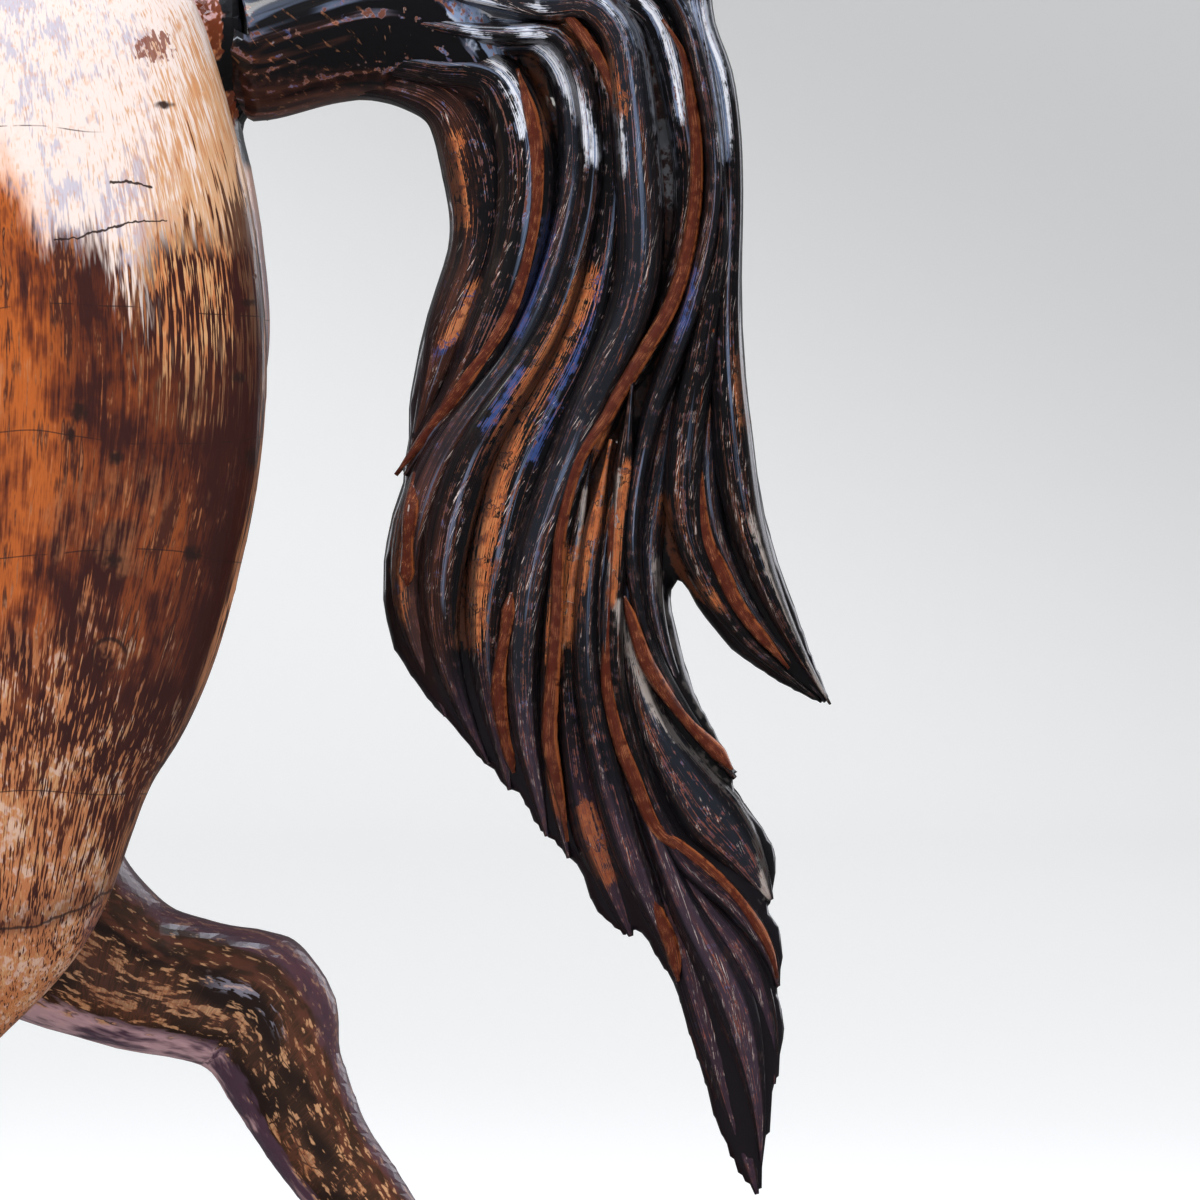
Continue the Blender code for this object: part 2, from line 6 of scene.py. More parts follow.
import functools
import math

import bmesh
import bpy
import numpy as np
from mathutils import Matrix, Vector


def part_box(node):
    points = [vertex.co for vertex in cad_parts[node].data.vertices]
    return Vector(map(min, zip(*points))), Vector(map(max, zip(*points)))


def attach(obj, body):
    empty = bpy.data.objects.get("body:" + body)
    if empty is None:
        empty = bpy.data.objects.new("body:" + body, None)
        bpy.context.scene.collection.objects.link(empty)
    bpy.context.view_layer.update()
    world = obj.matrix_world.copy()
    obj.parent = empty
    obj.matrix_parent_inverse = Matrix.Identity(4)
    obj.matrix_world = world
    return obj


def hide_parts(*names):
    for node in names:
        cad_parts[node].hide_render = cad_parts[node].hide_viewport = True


bl_info = {
    "name": "Carved horse",
    "version": (1, 0, 0),
    "blender": (4, 5, 0),
    "location": "View3D > Sidebar > Carved horse",
    "description": "A carved wooden horse with a painted tail, on a low base",
    "category": "Object",
}

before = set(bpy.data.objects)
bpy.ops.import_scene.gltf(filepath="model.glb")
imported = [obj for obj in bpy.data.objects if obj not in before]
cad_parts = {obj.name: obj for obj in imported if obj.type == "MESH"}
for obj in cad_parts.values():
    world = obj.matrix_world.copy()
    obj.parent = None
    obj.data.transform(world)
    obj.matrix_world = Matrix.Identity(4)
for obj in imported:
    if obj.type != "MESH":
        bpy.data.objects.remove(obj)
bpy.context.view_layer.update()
BASE_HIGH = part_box("base")[1]  # its upper corner

# Driving dimensions, in metres
WITHERS_HEIGHT = 0.770  # top of the base to the withers
BASE_THICKNESS = BASE_HIGH.z
TOUCH_GAP = 0.0003  # between pieces that touch

# The figure is drawn on a grid of 185 units to the withers, with Z from the top of the base.
# One row is x, y, z, half depth in side view and half width across.
GRID = WITHERS_HEIGHT / 185
ACROSS = (0.0, 1.0, 0.0)  # from the near side to the far side

TRUNK = (
    (64.5, 0, 156, 9, 9),
    (58, 0, 153, 23, 20),
    (46, 0, 149.5, 32, 23),
    (28, 0, 149, 35, 25),
    (5, 0, 146.5, 35.5, 25),
    (-24, 0, 140.5, 37.5, 26.5),
    (-50, 0, 140.5, 39.5, 25.5),
    (-70, 0, 144, 40, 22),
    (-90, 0, 145, 31, 19),
    (-104, 0, 146, 20, 14),
    (-110, 0, 146, 9, 7),
)
TAIL_STUB = (
    (42, 0, 160, 9, 8),
    (58, 0, 165.5, 9.4, 8.2),
    (66, 0, 166.6, 8.2, 7.4),
    (70.15, 0, 167.0, 8.0, 7.3),
)
RUMP = (
    (44, 0, 168, 20, 15),
    (49, 0, 153, 21.2, 16),
    (49.5, 0, 143, 22.8, 15),
    (49, 0, 132, 22.6, 13),
    (46, 0, 112, 17, 8),
    (42, 0, 97, 8, 4),
)
NECK = (
    (-66, 0, 146, 30, 17),
    (-80, 0, 160, 30, 16.5),
    (-89, 0, 175, 27.5, 14),
    (-96.5, 0, 192, 22.5, 11.5),
    (-101.5, 0, 210, 17.5, 9.4),
    (-105, 0, 227, 13, 8),
    (-108, 0, 239, 10, 7),
    (-110, 0, 246, 6, 5),
)
HEAD = (
    (-105, 0, 246, 6, 4.5),
    (-111.5, 0, 243, 10, 7.4),
    (-118, 0, 235, 13, 8.8),
    (-123, 0, 226, 13.5, 8.4),
    (-128, 0, 215.5, 10.8, 6.9),
    (-132.5, 0, 205, 8.6, 5.6),
    (-136.5, 0, 195.5, 7.8, 5.6),
    (-139.5, 0, 188.5, 7.2, 5.8),
    (-141.6, 0, 183.5, 5.2, 4.4),
    (-142.6, 0, 181, 2, 2),
)
EAR = (
    (-109, 4.2, 247, 3.0, 2.4),
    (-110.2, 5.2, 252.5, 3.6, 2.2),
    (-111.2, 5.6, 258.5, 2.8, 1.6),
    (-112.4, 5.2, 265, 0.8, 0.7),
)
NEAR_HIND_LEG = (
    (35, -8, 176, 22, 6),
    (36.5, -10.9, 166, 29.2, 11),
    (40.5, -12.5, 137.5, 32.2, 14),
    (39.5, -12.5, 114.5, 30.5, 13.5),
    (38, -12.8, 96.5, 25.5, 11.5),
    (38, -13, 82.5, 19, 9.5),
    (34.5, -13, 69.5, 11.5, 7.2),
    (30.5, -13, 56.5, 7.4, 5.2),
    (26.7, -13, 48.5, 5.6, 4.4),
    (20, -13, 38, 4.4, 3.7),
    (12, -13, 25, 5.4, 4.6),
    (7.7, -13, 17.5, 4.4, 4.2),
    (4.3, -13, 11, 6.3, 6.0),
    (1.5, -13, 0, 8.6, 7.6),
    (1.2, -13, -2, 8.8, 7.8),
)
FAR_HIND_LEG = (
    (35, 8, 176, 22, 6),
    (36.5, 10.9, 166, 28, 11),
    (40, 12.5, 138, 30.4, 14),
    (37.5, 12.5, 115, 27, 13),
    (39.5, 12.5, 95.5, 19.5, 11),
    (47, 12.5, 80.5, 12.2, 9.2),
    (57, 12.6, 73.1, 8.2, 7.4),
    (64.4, 12.8, 70.8, 7.2, 6.0),
    (70.2, 13, 68.6, 7.0, 5.4),
    (73.2, 13, 62.8, 6.3, 4.8),
    (77, 13, 55.4, 5.3, 4.2),
    (80.9, 13, 50, 4.9, 3.9),
    (89.5, 13, 37.5, 4.5, 3.7),
    (97, 13, 25.5, 5.3, 4.5),
    (100, 13, 17.5, 4.4, 4.2),
    (102.1, 13, 11, 6.1, 5.9),
    (105.6, 13, 2.6, 8.2, 7.4),
)
NEAR_FORE_LEG = (
    (-74, -10, 170, 12, 6),
    (-84, -12, 150, 20, 10),
    (-86, -13, 130, 19, 10.5),
    (-78, -12.5, 110, 14.5, 9),
    (-76, -12.2, 96, 10.5, 7.8),
    (-75.5, -12, 80, 7.8, 6),
    (-75, -12, 66, 5.8, 4.9),
    (-75, -12, 59, 6.0, 5.2),
    (-74, -12, 51, 4.6, 4.2),
    (-72.5, -12, 40, 4.0, 3.6),
    (-70.5, -12, 26, 5.1, 4.5),
    (-73, -12, 18, 4.2, 4.1),
    (-75.8, -12, 11.5, 6.1, 5.9),
    (-79, -12, 0, 8.6, 7.6),
    (-79.5, -12, -2, 8.8, 7.8),
)
FAR_FORE_LEG = (
    (-74, 10, 170, 12, 6),
    (-84, 12, 150, 20, 10),
    (-87, 13, 130, 19, 10.5),
    (-84, 12.5, 114, 15, 9),
    (-92.5, 12.3, 103, 11, 7.6),
    (-104, 12, 96.5, 8.0, 6.0),
    (-113, 12, 91.5, 6.4, 5.0),
    (-118.5, 12, 86.5, 6.2, 5.3),
    (-120, 12, 79.5, 5.2, 4.4),
    (-118, 12, 67, 4.1, 3.6),
    (-113, 12, 52.5, 5.1, 4.5),
    (-107.5, 12, 46.5, 4.2, 4.1),
    (-103, 12, 42, 5.9, 5.7),
    (-96, 12, 34.5, 8.0, 7.2),
)
# Each leg, with the heights on the grid where its dark glaze is full and where it starts
LEGS = (
    (NEAR_HIND_LEG, 46, 62),
    (FAR_HIND_LEG, 88, 98),
    (NEAR_FORE_LEG, 78, 96),
    (FAR_FORE_LEG, 92, 106),
)
LEG_REACH = 1.6  # a leg's glaze ends this far from its line, in half depths
HOCK_POINTS = (((37, -13, 60.5), 3.6), ((72.4, 13, 72.8), 4.0))
# The tendon that stands out behind each hind leg, above the hock
TENDONS = (
    (
        (55, 12.4, 79.8, 3.0, 3.4),
        (61, 11.6, 76.4, 3.2, 3.8),
        (67, 11.4, 74.6, 3.2, 4.0),
        (72.5, 11.8, 73.2, 3.4, 4.2),
        (76.2, 12.2, 69.0, 2.8, 3.6),
        (77.4, 12.6, 63.0, 1.6, 2.6),
    ),
    (
        (44.5, -12.6, 76, 2.8, 3.2),
        (41.6, -12.4, 69, 2.8, 3.4),
        (38.6, -12.4, 61, 2.8, 3.6),
        (35.2, -12.6, 54, 1.8, 2.6),
    ),
)
# Rounded forms on both sides of the head: place and radii along the three axes
HEAD_FORMS = (
    ((-121.8, 7.8, 236.0), (2.7, 2.4, 2.4)),  # eye
    ((-119.6, 7.2, 240.2), (5.0, 2.6, 1.5)),  # brow
    ((-115.2, 5.6, 228.4), (8.4, 4.6, 10.2)),  # cheek
    ((-142.0, 4.7, 190.4), (2.1, 2.0, 2.8)),  # nostril
    ((-135.8, 1.6, 184.6), (4.0, 3.6, 3.2)),  # chin
)

# Mane: locks that leave the crest and sweep back down the neck
MANE_LOCKS = 12
MANE_FIRST, MANE_LAST = 0.95, 0.27  # where along the neck the locks leave the crest
MANE_SWEEP = 0.27  # how far along the neck a lock falls back
MANE_NEAR_REACH, MANE_FAR_REACH = math.radians(88), math.radians(-60)
MANE_HALF_WIDTH, MANE_HALF_THICKNESS = 2.7, 2.6
MANE_RIPPLE = math.radians(9)
MANE_LOWEST = 0.16  # no lock falls past this place along the neck
# The crest's ridge under the locks: from and to along the neck, and its radius in the middle and at the ends
CREST_SPAN, CREST_RADIUS, CREST_END_RADIUS = (0.30, 0.99), 2.4, 1.2
# The forelock's locks, drawn once and spread to both sides
FORELOCK = (
    (-111, 1.4, 252, 1.5, 1.3),
    (-118, 2.0, 251, 2.0, 1.6),
    (-125, 2.8, 246.5, 2.2, 1.5),
    (-130, 3.6, 239, 1.6, 1.2),
    (-131.4, 4.4, 232, 0.5, 0.5),
)
FORELOCK_SIDES = (-1, -0.35, 0.35, 1)

# Tail, drawn in grid units from the middle of the dock at the joint.
# The dock and the arch are a fan from its inner curve to its outer one.
TAIL_ORIGIN = (71.2, 166.5)
INNER_ARCH = ((0.5, -7.0), (8.5, -4.7), (15.0, -5.0))
OUTER_ARCH = ((0.5, 7.4), (21.5, 15.4), (42.0, 12.0))
# A lock is its share across the fan, then its own points, tip last.
FANNED_LOCKS = (
    (0.02, ((19.9, -7.2), (22.3, -13.5), (22.5, -20.5), (19.6, -28.5), (15.4, -41.0))),
    (0.12, ((24.0, -4.0), (26.9, -11.0), (26.3, -20.5), (21.9, -32.0), (14.8, -43.5))),
    (0.24, ((29.5, -1.6), (31.6, -13.0), (27.6, -28.0), (18.4, -42.0), (15.2, -55.0), (18.9, -67.6))),
    (0.3, (
        (31.0, -0.8), (33.4, -13.4), (29.8, -28.0), (21.4, -42.0), (18.4, -55.0), (20.0, -65.0),
        (23.2, -72.4),
    )),
    (0.36, ((33.0, 0.2), (35.4, -14.0), (33.0, -29.0), (25.8, -44.0), (22.9, -60.0), (25.3, -75.0))),
    (0.48, (
        (35.6, 1.8), (38.0, -14.0), (37.6, -26.0), (32.3, -38.5), (27.6, -52.0), (26.6, -66.0),
        (29.0, -79.6),
    )),
    (0.62, (
        (39.4, 3.0), (42.6, -8.0), (43.2, -17.0), (41.1, -27.0), (34.9, -38.0), (30.6, -49.0),
        (29.4, -64.0), (29.6, -73.5), (31.2, -81.8),
    )),
    (0.74, (
        (41.8, 3.8), (45.6, -12.0), (43.9, -25.0), (39.4, -38.0), (37.4, -50.0), (39.3, -61.0),
        (43.8, -69.0), (47.8, -73.8),
    )),
    (0.8, (
        (42.8, 3.6), (45.7, -14.0), (43.6, -28.0), (40.2, -43.0), (39.2, -53.0), (41.0, -62.0),
        (45.4, -71.0),
    )),
    (0.89, (
        (43.4, 3.2), (46.4, -16.0), (44.7, -29.0), (42.8, -41.0), (43.4, -50.5), (48.4, -59.4),
        (56.4, -66.2),
    )),
    (0.95, ((43.6, 2.2), (46.2, -19.0), (45.2, -33.0), (45.0, -46.0), (49.0, -56.4), (56.8, -66.2))),
    (1.0, (
        (43.9, 3.0), (45.8, -2.0), (47.0, -9.0), (47.2, -16.0), (46.8, -26.0), (46.9, -34.0), (48.0, -44.5),
        (50.2, -52.6), (53.6, -60.2), (57.3, -66.4),
    )),
)
# These locks rise from under the others halfway down.
RISING_LOCKS = (
    ((33.6, -41.0), (31.6, -52.0), (31.2, -63.0), (33.0, -76.0), (37.4, -89.6)),
    ((35.4, -40.0), (33.2, -53.0), (33.2, -65.0), (36.5, -79.0), (40.7, -89.6), (42.1, -94.6)),
    (
        (36.4, -41.0), (34.4, -54.0), (34.9, -66.0), (39.3, -81.0), (44.8, -97.0), (47.8, -107.0),
        (50.0, -115.4),
    ),
    (
        (36.8, -44.0), (35.0, -56.0), (36.0, -68.0), (41.6, -84.0), (47.6, -96.0), (50.0, -106.0),
        (50.4, -112.0),
    ),
    (
        (37.2, -42.0), (35.4, -55.0), (36.0, -67.0), (41.6, -82.0), (48.4, -91.6), (50.9, -98.0),
        (51.7, -104.4),
    ),
    (
        (37.6, -33.0), (36.0, -53.0), (36.3, -66.0), (41.5, -80.2), (47.6, -86.2), (51.0, -91.0),
        (52.1, -94.6),
    ),
    ((38.0, -44.0), (36.9, -56.0), (38.9, -67.0), (43.8, -75.6), (48.2, -81.0), (51.4, -86.0)),
)
# The dock's rows: x and z from the joint, half depth in side view and half width across
DOCK = (
    (-0.6, -0.05, 7.8, 7.2),
    (0.1, 0.02, 8.15, 7.5),
    (6.0, 1.9, 8.5, 7.9),
    (12.0, 3.3, 9.4, 8.3),
    (16.5, 2.5, 9.0, 8.1),
    (20.5, -0.5, 7.0, 7.3),
    (23.5, -5.0, 4.5, 5.4),
    (25.0, -9.0, 1.5, 2.5),
)
TAIL_HALF_THICKNESS = 7.2  # through the arch, in grid units
TIP_HALF_THICKNESS = 1.1
THINS_BELOW = -4  # height from the joint where the tail starts to thin
TIP_DROP = min(points[-1][1] for points in RISING_LOCKS)
LEAST_HALF_THICKNESS = 0.7
LOCKS_OPEN = (9, 17)  # where along the dock the locks come out of it
IN_DOCK = 0.72  # their thickness inside the dock, as a share

# How finely the carving is cut
BODY_SIDES = 36
TENDON_SIDES = 20
ROWS_BETWEEN = 8  # extra rings between two drawn rows
BODY_SMOOTHING = 5
LOCK_POINTS = 26
LOCK_RINGS = 76
LOCK_SIDES = 24
CORE_SIDES = 12
CORE_RINGS = 26
CORE_GRAIN = 0.0034
CORE_TRIANGLES = 14000
TONE_STEP = 0.618  # from one lock's tone of black to the next one's, so that neighbours differ
TIP_LENGTH, RISE_LENGTH, CORE_TIP_LENGTH = 0.22, 0.15, 0.08  # tapered ends, as shares of a lock
EDGE_FALL = 0.86  # how much thinner the tail gets towards its edges
LOCK_LEAN = 0.7  # to one side and the other in turn, in grid units
LOCK_OVERLAP = 0.8  # half width of a lock, as a share of the distance to its neighbours
LOCK_WIDTHS = (0.9, 3.7)  # narrowest and widest half width
FACE_STRANDS = (-0.6, 0.6)  # a lock's strand on each face of the tail, as a share of its half thickness
FACE_STRAND_THICK = 0.42
CORE_THICK, CORE_WIDE, EDGE_CORE_WIDE = 0.78, 1.25, 1.05
EDGE_LOCKS = (0, 11, 16, 18)  # locks that show their whole thickness from the side
MANE_STRANDS = (-0.75, -0.25, 0.25, 0.75)
MANE_RINGS, MANE_SIDES = 22, 10

# The photograph's grid: one unit is 100 of its 1200 pixels, and the origin is its top left corner.
UNIT = 10 * GRID
PICTURE_LEFT = 4.55  # from the object's middle to the picture's left edge, in units
PICTURE_TOP = 17.05  # from the top of the base to the picture's top edge, in units
PICTURE_MIDDLE = 600
PIXELS = 100  # in one unit
CAMERA_DISTANCE = 3.5
HAUNCH_DEPTH = 0.1  # from the middle plane to the near haunch, in metres
PICTURE_WIDTH = 12 * UNIT
SENSOR_WIDTH = 0.036
PICTURE_MIDDLE_X = (PICTURE_LEFT + PICTURE_MIDDLE / PIXELS) * UNIT
PICTURE_MIDDLE_Z = BASE_THICKNESS + (PICTURE_TOP - PICTURE_MIDDLE / PIXELS) * UNIT

# The backdrop is a round bowl: a flat floor, a wide curve, and a wall.
FLOOR_RADIUS, BACKDROP_CURVE, BACKDROP_HEIGHT, BACKDROP_SIDES = 14.0, 4.0, 10.0, 96
BACKDROP_SHADE = 0.66  # the wall's top, as a share of the floor's colour
BACKDROP_GLOW = 0.26  # keeps the far wall nearly white behind the carving

# Narrow raised cords on both faces of the tail, in the photograph's pixels
TAIL_CORDS = (
    ((517, 68), (532, 121), (537, 170), (533, 230), (512, 306), (474, 367), (426, 433), (394, 474)),
    (
        (554, 0), (592, 48), (615, 96), (627, 153), (634, 198), (639, 255), (634, 300), (621, 348),
        (605, 395),
    ),
    (
        (662, 19), (682, 51), (690, 96), (696, 137), (696, 191), (688, 249), (672, 303), (643, 354),
        (618, 395), (605, 420), (586, 446), (573, 477), (559, 541), (557, 605), (554, 653), (549, 733),
        (553, 764), (561, 805), (567, 843),
    ),
    (
        (717, 287), (704, 350), (699, 398), (697, 450), (700, 500), (707, 541), (723, 573), (742, 611),
        (790, 669),
    ),
    (
        (627, 458), (621, 493), (615, 525), (613, 573), (607, 669), (611, 707), (621, 745), (634, 777),
        (655, 828), (679, 847), (704, 866), (730, 891), (755, 923), (771, 952), (779, 981),
    ),
    ((624, 596), (634, 627), (646, 662), (666, 694), (691, 726), (717, 752), (733, 771)),
    ((620, 808), (628, 840), (643, 879), (659, 917), (672, 949), (679, 984)),
    ((511, 592), (506, 627), (500, 662), (498, 694), (503, 733), (513, 774)),
    ((419, 462), (411, 503), (407, 541), (406, 586)),
)
CORD_RADIUS = 0.7
CORD_SUNK = 0.1  # into the locks, in grid units
CORD_POINTS, CORD_SIDES = 50, 10
# Strokes on the tail: half width in pixels, then their points. Bare ones are where the black is worn to wood,
# blue ones are blue strips, and pale ones are painted highlights along the crests
BARE_STROKES = (
    (13, ((588, 282), (562, 335), (532, 388), (506, 446), (484, 540), (468, 640))),
    (8, ((566, 556), (557, 610), (552, 662))),
    (10, ((606, 440), (600, 500), (582, 560), (562, 640))),
    (5, ((628, 465), (618, 530), (612, 600))),
    (7, ((553, 690), (549, 750), (556, 806))),
    (6, ((665, 500), (669, 540), (682, 576), (716, 604))),
    (7, ((474, 288), (462, 318), (446, 342))),
    (11, ((586, 812), (594, 840), (606, 878))),
    (7, ((396, 500), (394, 550), (402, 612))),
    (9, ((456, 140), (458, 180), (462, 224))),
    (6, ((742, 350), (741, 392), (746, 430))),
    (7, ((560, 20), (600, 60), (622, 110))),
    (6, ((532, 60), (546, 110), (541, 150))),
)
BLUE_STROKES = (
    (5, ((602, 268), (584, 330), (556, 400), (532, 462))),
    (6, ((524, 366), (504, 400), (488, 428))),
    (6, ((548, 216), (540, 262), (520, 330))),
    (5, ((692, 262), (688, 300), (680, 336))),
    (6, ((472, 296), (456, 330), (440, 352))),
)
# Painted highlights: pale streaks along the crests of the locks, white over the arch and grey lower down
HIGHLIGHT_STROKES = (
    (6, ((453, 13), (473, 30), (493, 57), (517, 97), (523, 133))),
    (8, ((470, 0), (507, 17), (540, 43), (560, 73), (580, 110), (596, 160))),
    (4, ((540, 7), (570, 27), (593, 57), (610, 90), (620, 127), (623, 165))),
    (8, ((610, 0), (633, 23), (650, 60), (657, 100), (666, 150), (668, 200))),
    (5, ((643, 0), (663, 30), (675, 67), (680, 110))),
    (7, ((690, 0), (709, 36), (718, 70), (723, 110), (725, 150))),
    (4, ((704, 0), (727, 50), (737, 96))),
    (5, ((617, 600), (630, 650), (660, 716), (700, 760), (733, 788))),
    (3, ((585, 490), (577, 560), (562, 650))),
    (3, ((752, 520), (772, 580), (800, 640), (822, 688))),
    (4, ((655, 560), (668, 620), (690, 690), (716, 742))),
    (4, ((740, 800), (760, 850), (766, 900))),
    (3, ((618, 470), (613, 540), (610, 580))),
)
STROKES = (("bare", BARE_STROKES), ("blue", BLUE_STROKES), ("pale", HIGHLIGHT_STROKES))
STROKE_POINTS = 60


def in_frame(x, y, z):
    """A point of the drawing's grid, in metres."""
    return np.array((x * GRID, y * GRID, BASE_THICKNESS + z * GRID))


def smooth_rows(rows, between=ROWS_BETWEEN):
    """The drawn rows with rings added between them on one smooth curve (Catmull-Rom)."""
    rows = np.array(rows, float)
    ends = np.vstack([2 * rows[0] - rows[1], rows, 2 * rows[-1] - rows[-2]])
    made = []
    for before, start, stop, after in zip(ends, ends[1:], ends[2:], ends[3:]):
        for t in np.arange(between) / between:
            made.append(
                0.5 * (2 * start + (stop - before) * t
                       + (2 * before - 5 * start + 4 * stop - after) * t**2
                       + (3 * start - before - 3 * stop + after) * t**3)
            )
    return np.vstack([made, rows[-1:]])


def evenly_along(points, count):
    """The same line with its points evenly spaced."""
    steps = np.linalg.norm(np.diff(points, axis=0), axis=1)
    along = np.concatenate([[0], np.cumsum(steps)])
    wanted = np.linspace(0, along[-1], count)
    return np.column_stack([np.interp(wanted, along, column) for column in np.transpose(points)])


def ring_directions(centres, outward):
    """(across, out) at each point of a line: out is nearest to outward, and across is square to both."""
    tangents = np.gradient(centres, axis=0)
    tangents /= np.linalg.norm(tangents, axis=1)[:, None]
    outward = np.broadcast_to(outward, centres.shape)
    out = outward - (outward * tangents).sum(1)[:, None] * tangents
    out /= np.linalg.norm(out, axis=1)[:, None]
    return np.cross(tangents, out), out


def tube(centres, outward, across, out, sides, swell=None):
    """A closed tube with oval rings, as (bmesh, row of each vertex, angle of each vertex).

    Half width `out` lies along the outward direction and `across` square to it. swell scales a ring.
    """
    centres = np.asarray(centres, float)
    across_dirs, out_dirs = ring_directions(centres, outward)
    angles = np.arange(sides) * 2 * math.pi / sides
    bm = bmesh.new()
    ring = bmesh.ops.create_circle(bm, segments=sides, radius=1, cap_ends=False)["verts"]
    edges = list({edge for vert in ring for edge in vert.link_edges})
    bmesh.ops.contextual_create(bm, geom=edges)
    rings = []
    for row, (centre, a, o) in enumerate(zip(centres, across_dirs, out_dirs)):
        if row:
            made = bmesh.ops.extrude_edge_only(bm, edges=edges)["geom"]
            edges = [item for item in made if isinstance(item, bmesh.types.BMEdge)]
            ring = ring_in_order(made, ring)
        scale = swell(row, angles) if swell else np.ones(sides)
        places = (centre + np.outer(scale * np.cos(angles) * across[row], a)
                  + np.outer(scale * np.sin(angles) * out[row], o))
        for vert, place in zip(ring, places):
            vert.co = place
        rings.append(ring)
    bmesh.ops.contextual_create(bm, geom=edges)
    bmesh.ops.recalc_face_normals(bm, faces=bm.faces)
    bm.verts.index_update()
    row_of = np.empty(len(bm.verts), int)
    angle_of = np.empty(len(bm.verts))
    for row, ring in enumerate(rings):
        for vert, angle in zip(ring, angles):
            row_of[vert.index] = row
            angle_of[vert.index] = angle
    return bm, row_of, angle_of


def ring_in_order(extruded, ring_before):
    """The new ring's vertices, each in the place of the one that it was extruded from."""
    new = {item for item in extruded if isinstance(item, bmesh.types.BMVert)}
    ordered = []
    for vert in ring_before:
        ordered.append(next(e.other_vert(vert) for e in vert.link_edges if e.other_vert(vert) in new))
    return ordered


class Bundle:
    """Closed shapes gathered into one mesh, with marks on their points that the paint reads."""

    def __init__(self, *marks):
        self.bm = bmesh.new()
        self.marks = {name: [] for name in marks}

    def add(self, shape, **marks):
        mesh = bpy.data.meshes.new("shape")
        shape.to_mesh(mesh)
        shape.free()
        for name, values in self.marks.items():
            values.append(np.broadcast_to(marks[name], len(mesh.vertices)))
        self.bm.from_mesh(mesh)
        bpy.data.meshes.remove(mesh)

    def finished(self, name):
        obj = new_object(name, self.bm)
        for mark, values in self.marks.items():
            put_mark(obj.data, mark, np.concatenate(values))
        return obj


def new_object(name, bm):
    mesh = bpy.data.meshes.new(name)
    bm.to_mesh(mesh)
    bm.free()
    mesh.polygons.foreach_set("use_smooth", np.ones(len(mesh.polygons), bool))
    obj = bpy.data.objects.new(name, mesh)
    bpy.context.scene.collection.objects.link(obj)
    return obj


def put_mark(mesh, name, values):
    """Stores one number, or three, on each point of a mesh."""
    values = np.asarray(values, np.float32)
    kind, field = ("FLOAT_VECTOR", "vector") if values.ndim == 2 else ("FLOAT", "value")
    mesh.attributes.new(name, kind, "POINT").data.foreach_set(field, values.ravel())


def points_of(mesh):
    places = np.empty(len(mesh.vertices) * 3, np.float32)
    mesh.vertices.foreach_get("co", places)
    return places.reshape(-1, 3)


def apply_modifiers(obj):
    """Replaces the object's mesh with the evaluated one."""
    graph = bpy.context.evaluated_depsgraph_get()
    made = bpy.data.meshes.new_from_object(obj.evaluated_get(graph))
    obj.modifiers.clear()
    before = obj.data
    obj.data = made
    bpy.data.meshes.remove(before)
    made.name = obj.name


def cut_flat(obj, point, outward):
    """Cuts away what is past a plane, and closes the cut."""
    bm = bmesh.new()
    bm.from_mesh(obj.data)
    geometry = bm.verts[:] + bm.edges[:] + bm.faces[:]
    cut = bmesh.ops.bisect_plane(
        bm, geom=geometry, dist=1e-6, plane_co=Vector(point), plane_no=Vector(outward), clear_outer=True
    )
    rim = [item for item in cut["geom_cut"] if isinstance(item, bmesh.types.BMEdge)]
    bmesh.ops.holes_fill(bm, edges=rim, sides=0)
    bm.to_mesh(obj.data)
    bm.free()


def limb(bundle, rows, sides=BODY_SIDES):
    """A carved limb or trunk through drawn rows, its rings square to its line."""
    rows = smooth_rows(rows)
    centres = np.array([in_frame(*row[:3]) for row in rows])
    bundle.add(tube(centres, ACROSS, rows[:, 3] * GRID, rows[:, 4] * GRID, sides)[0])


def mirrored(rows):
    return tuple((row[0], -row[1], *row[2:]) for row in rows)


def rounded(bundle, place, radii):
    bm = bmesh.new()
    made = bmesh.ops.create_icosphere(bm, subdivisions=4, radius=GRID)["verts"]
    bmesh.ops.scale(bm, verts=made, vec=Vector(radii))
    bmesh.ops.translate(bm, verts=made, vec=Vector(in_frame(*place)))
    bundle.add(bm)


def neck_surface(share, angle, lift):
    """(point, outward) on the neck: share 0 is the chest and 1 the poll, and angle 0 is the crest."""
    rows = smooth_rows(NECK)
    at = np.clip(share, 0, 1) * (len(rows) - 1)
    low = min(int(at), len(rows) - 2)
    row = rows[low] + (rows[low + 1] - rows[low]) * (at - low)
    tangent = (rows[low + 1] - rows[low])[:3]
    crest = np.array((tangent[2], 0, -tangent[0])) / np.linalg.norm(tangent)
    near = np.array((0.0, -1.0, 0.0))
    outward = crest * math.cos(angle) / row[3] + near * math.sin(angle) / row[4]
    outward /= np.linalg.norm(outward)
    point = row[:3] + crest * row[3] * math.cos(angle) + near * row[4] * math.sin(angle)
    return in_frame(*(point + outward * lift)), outward


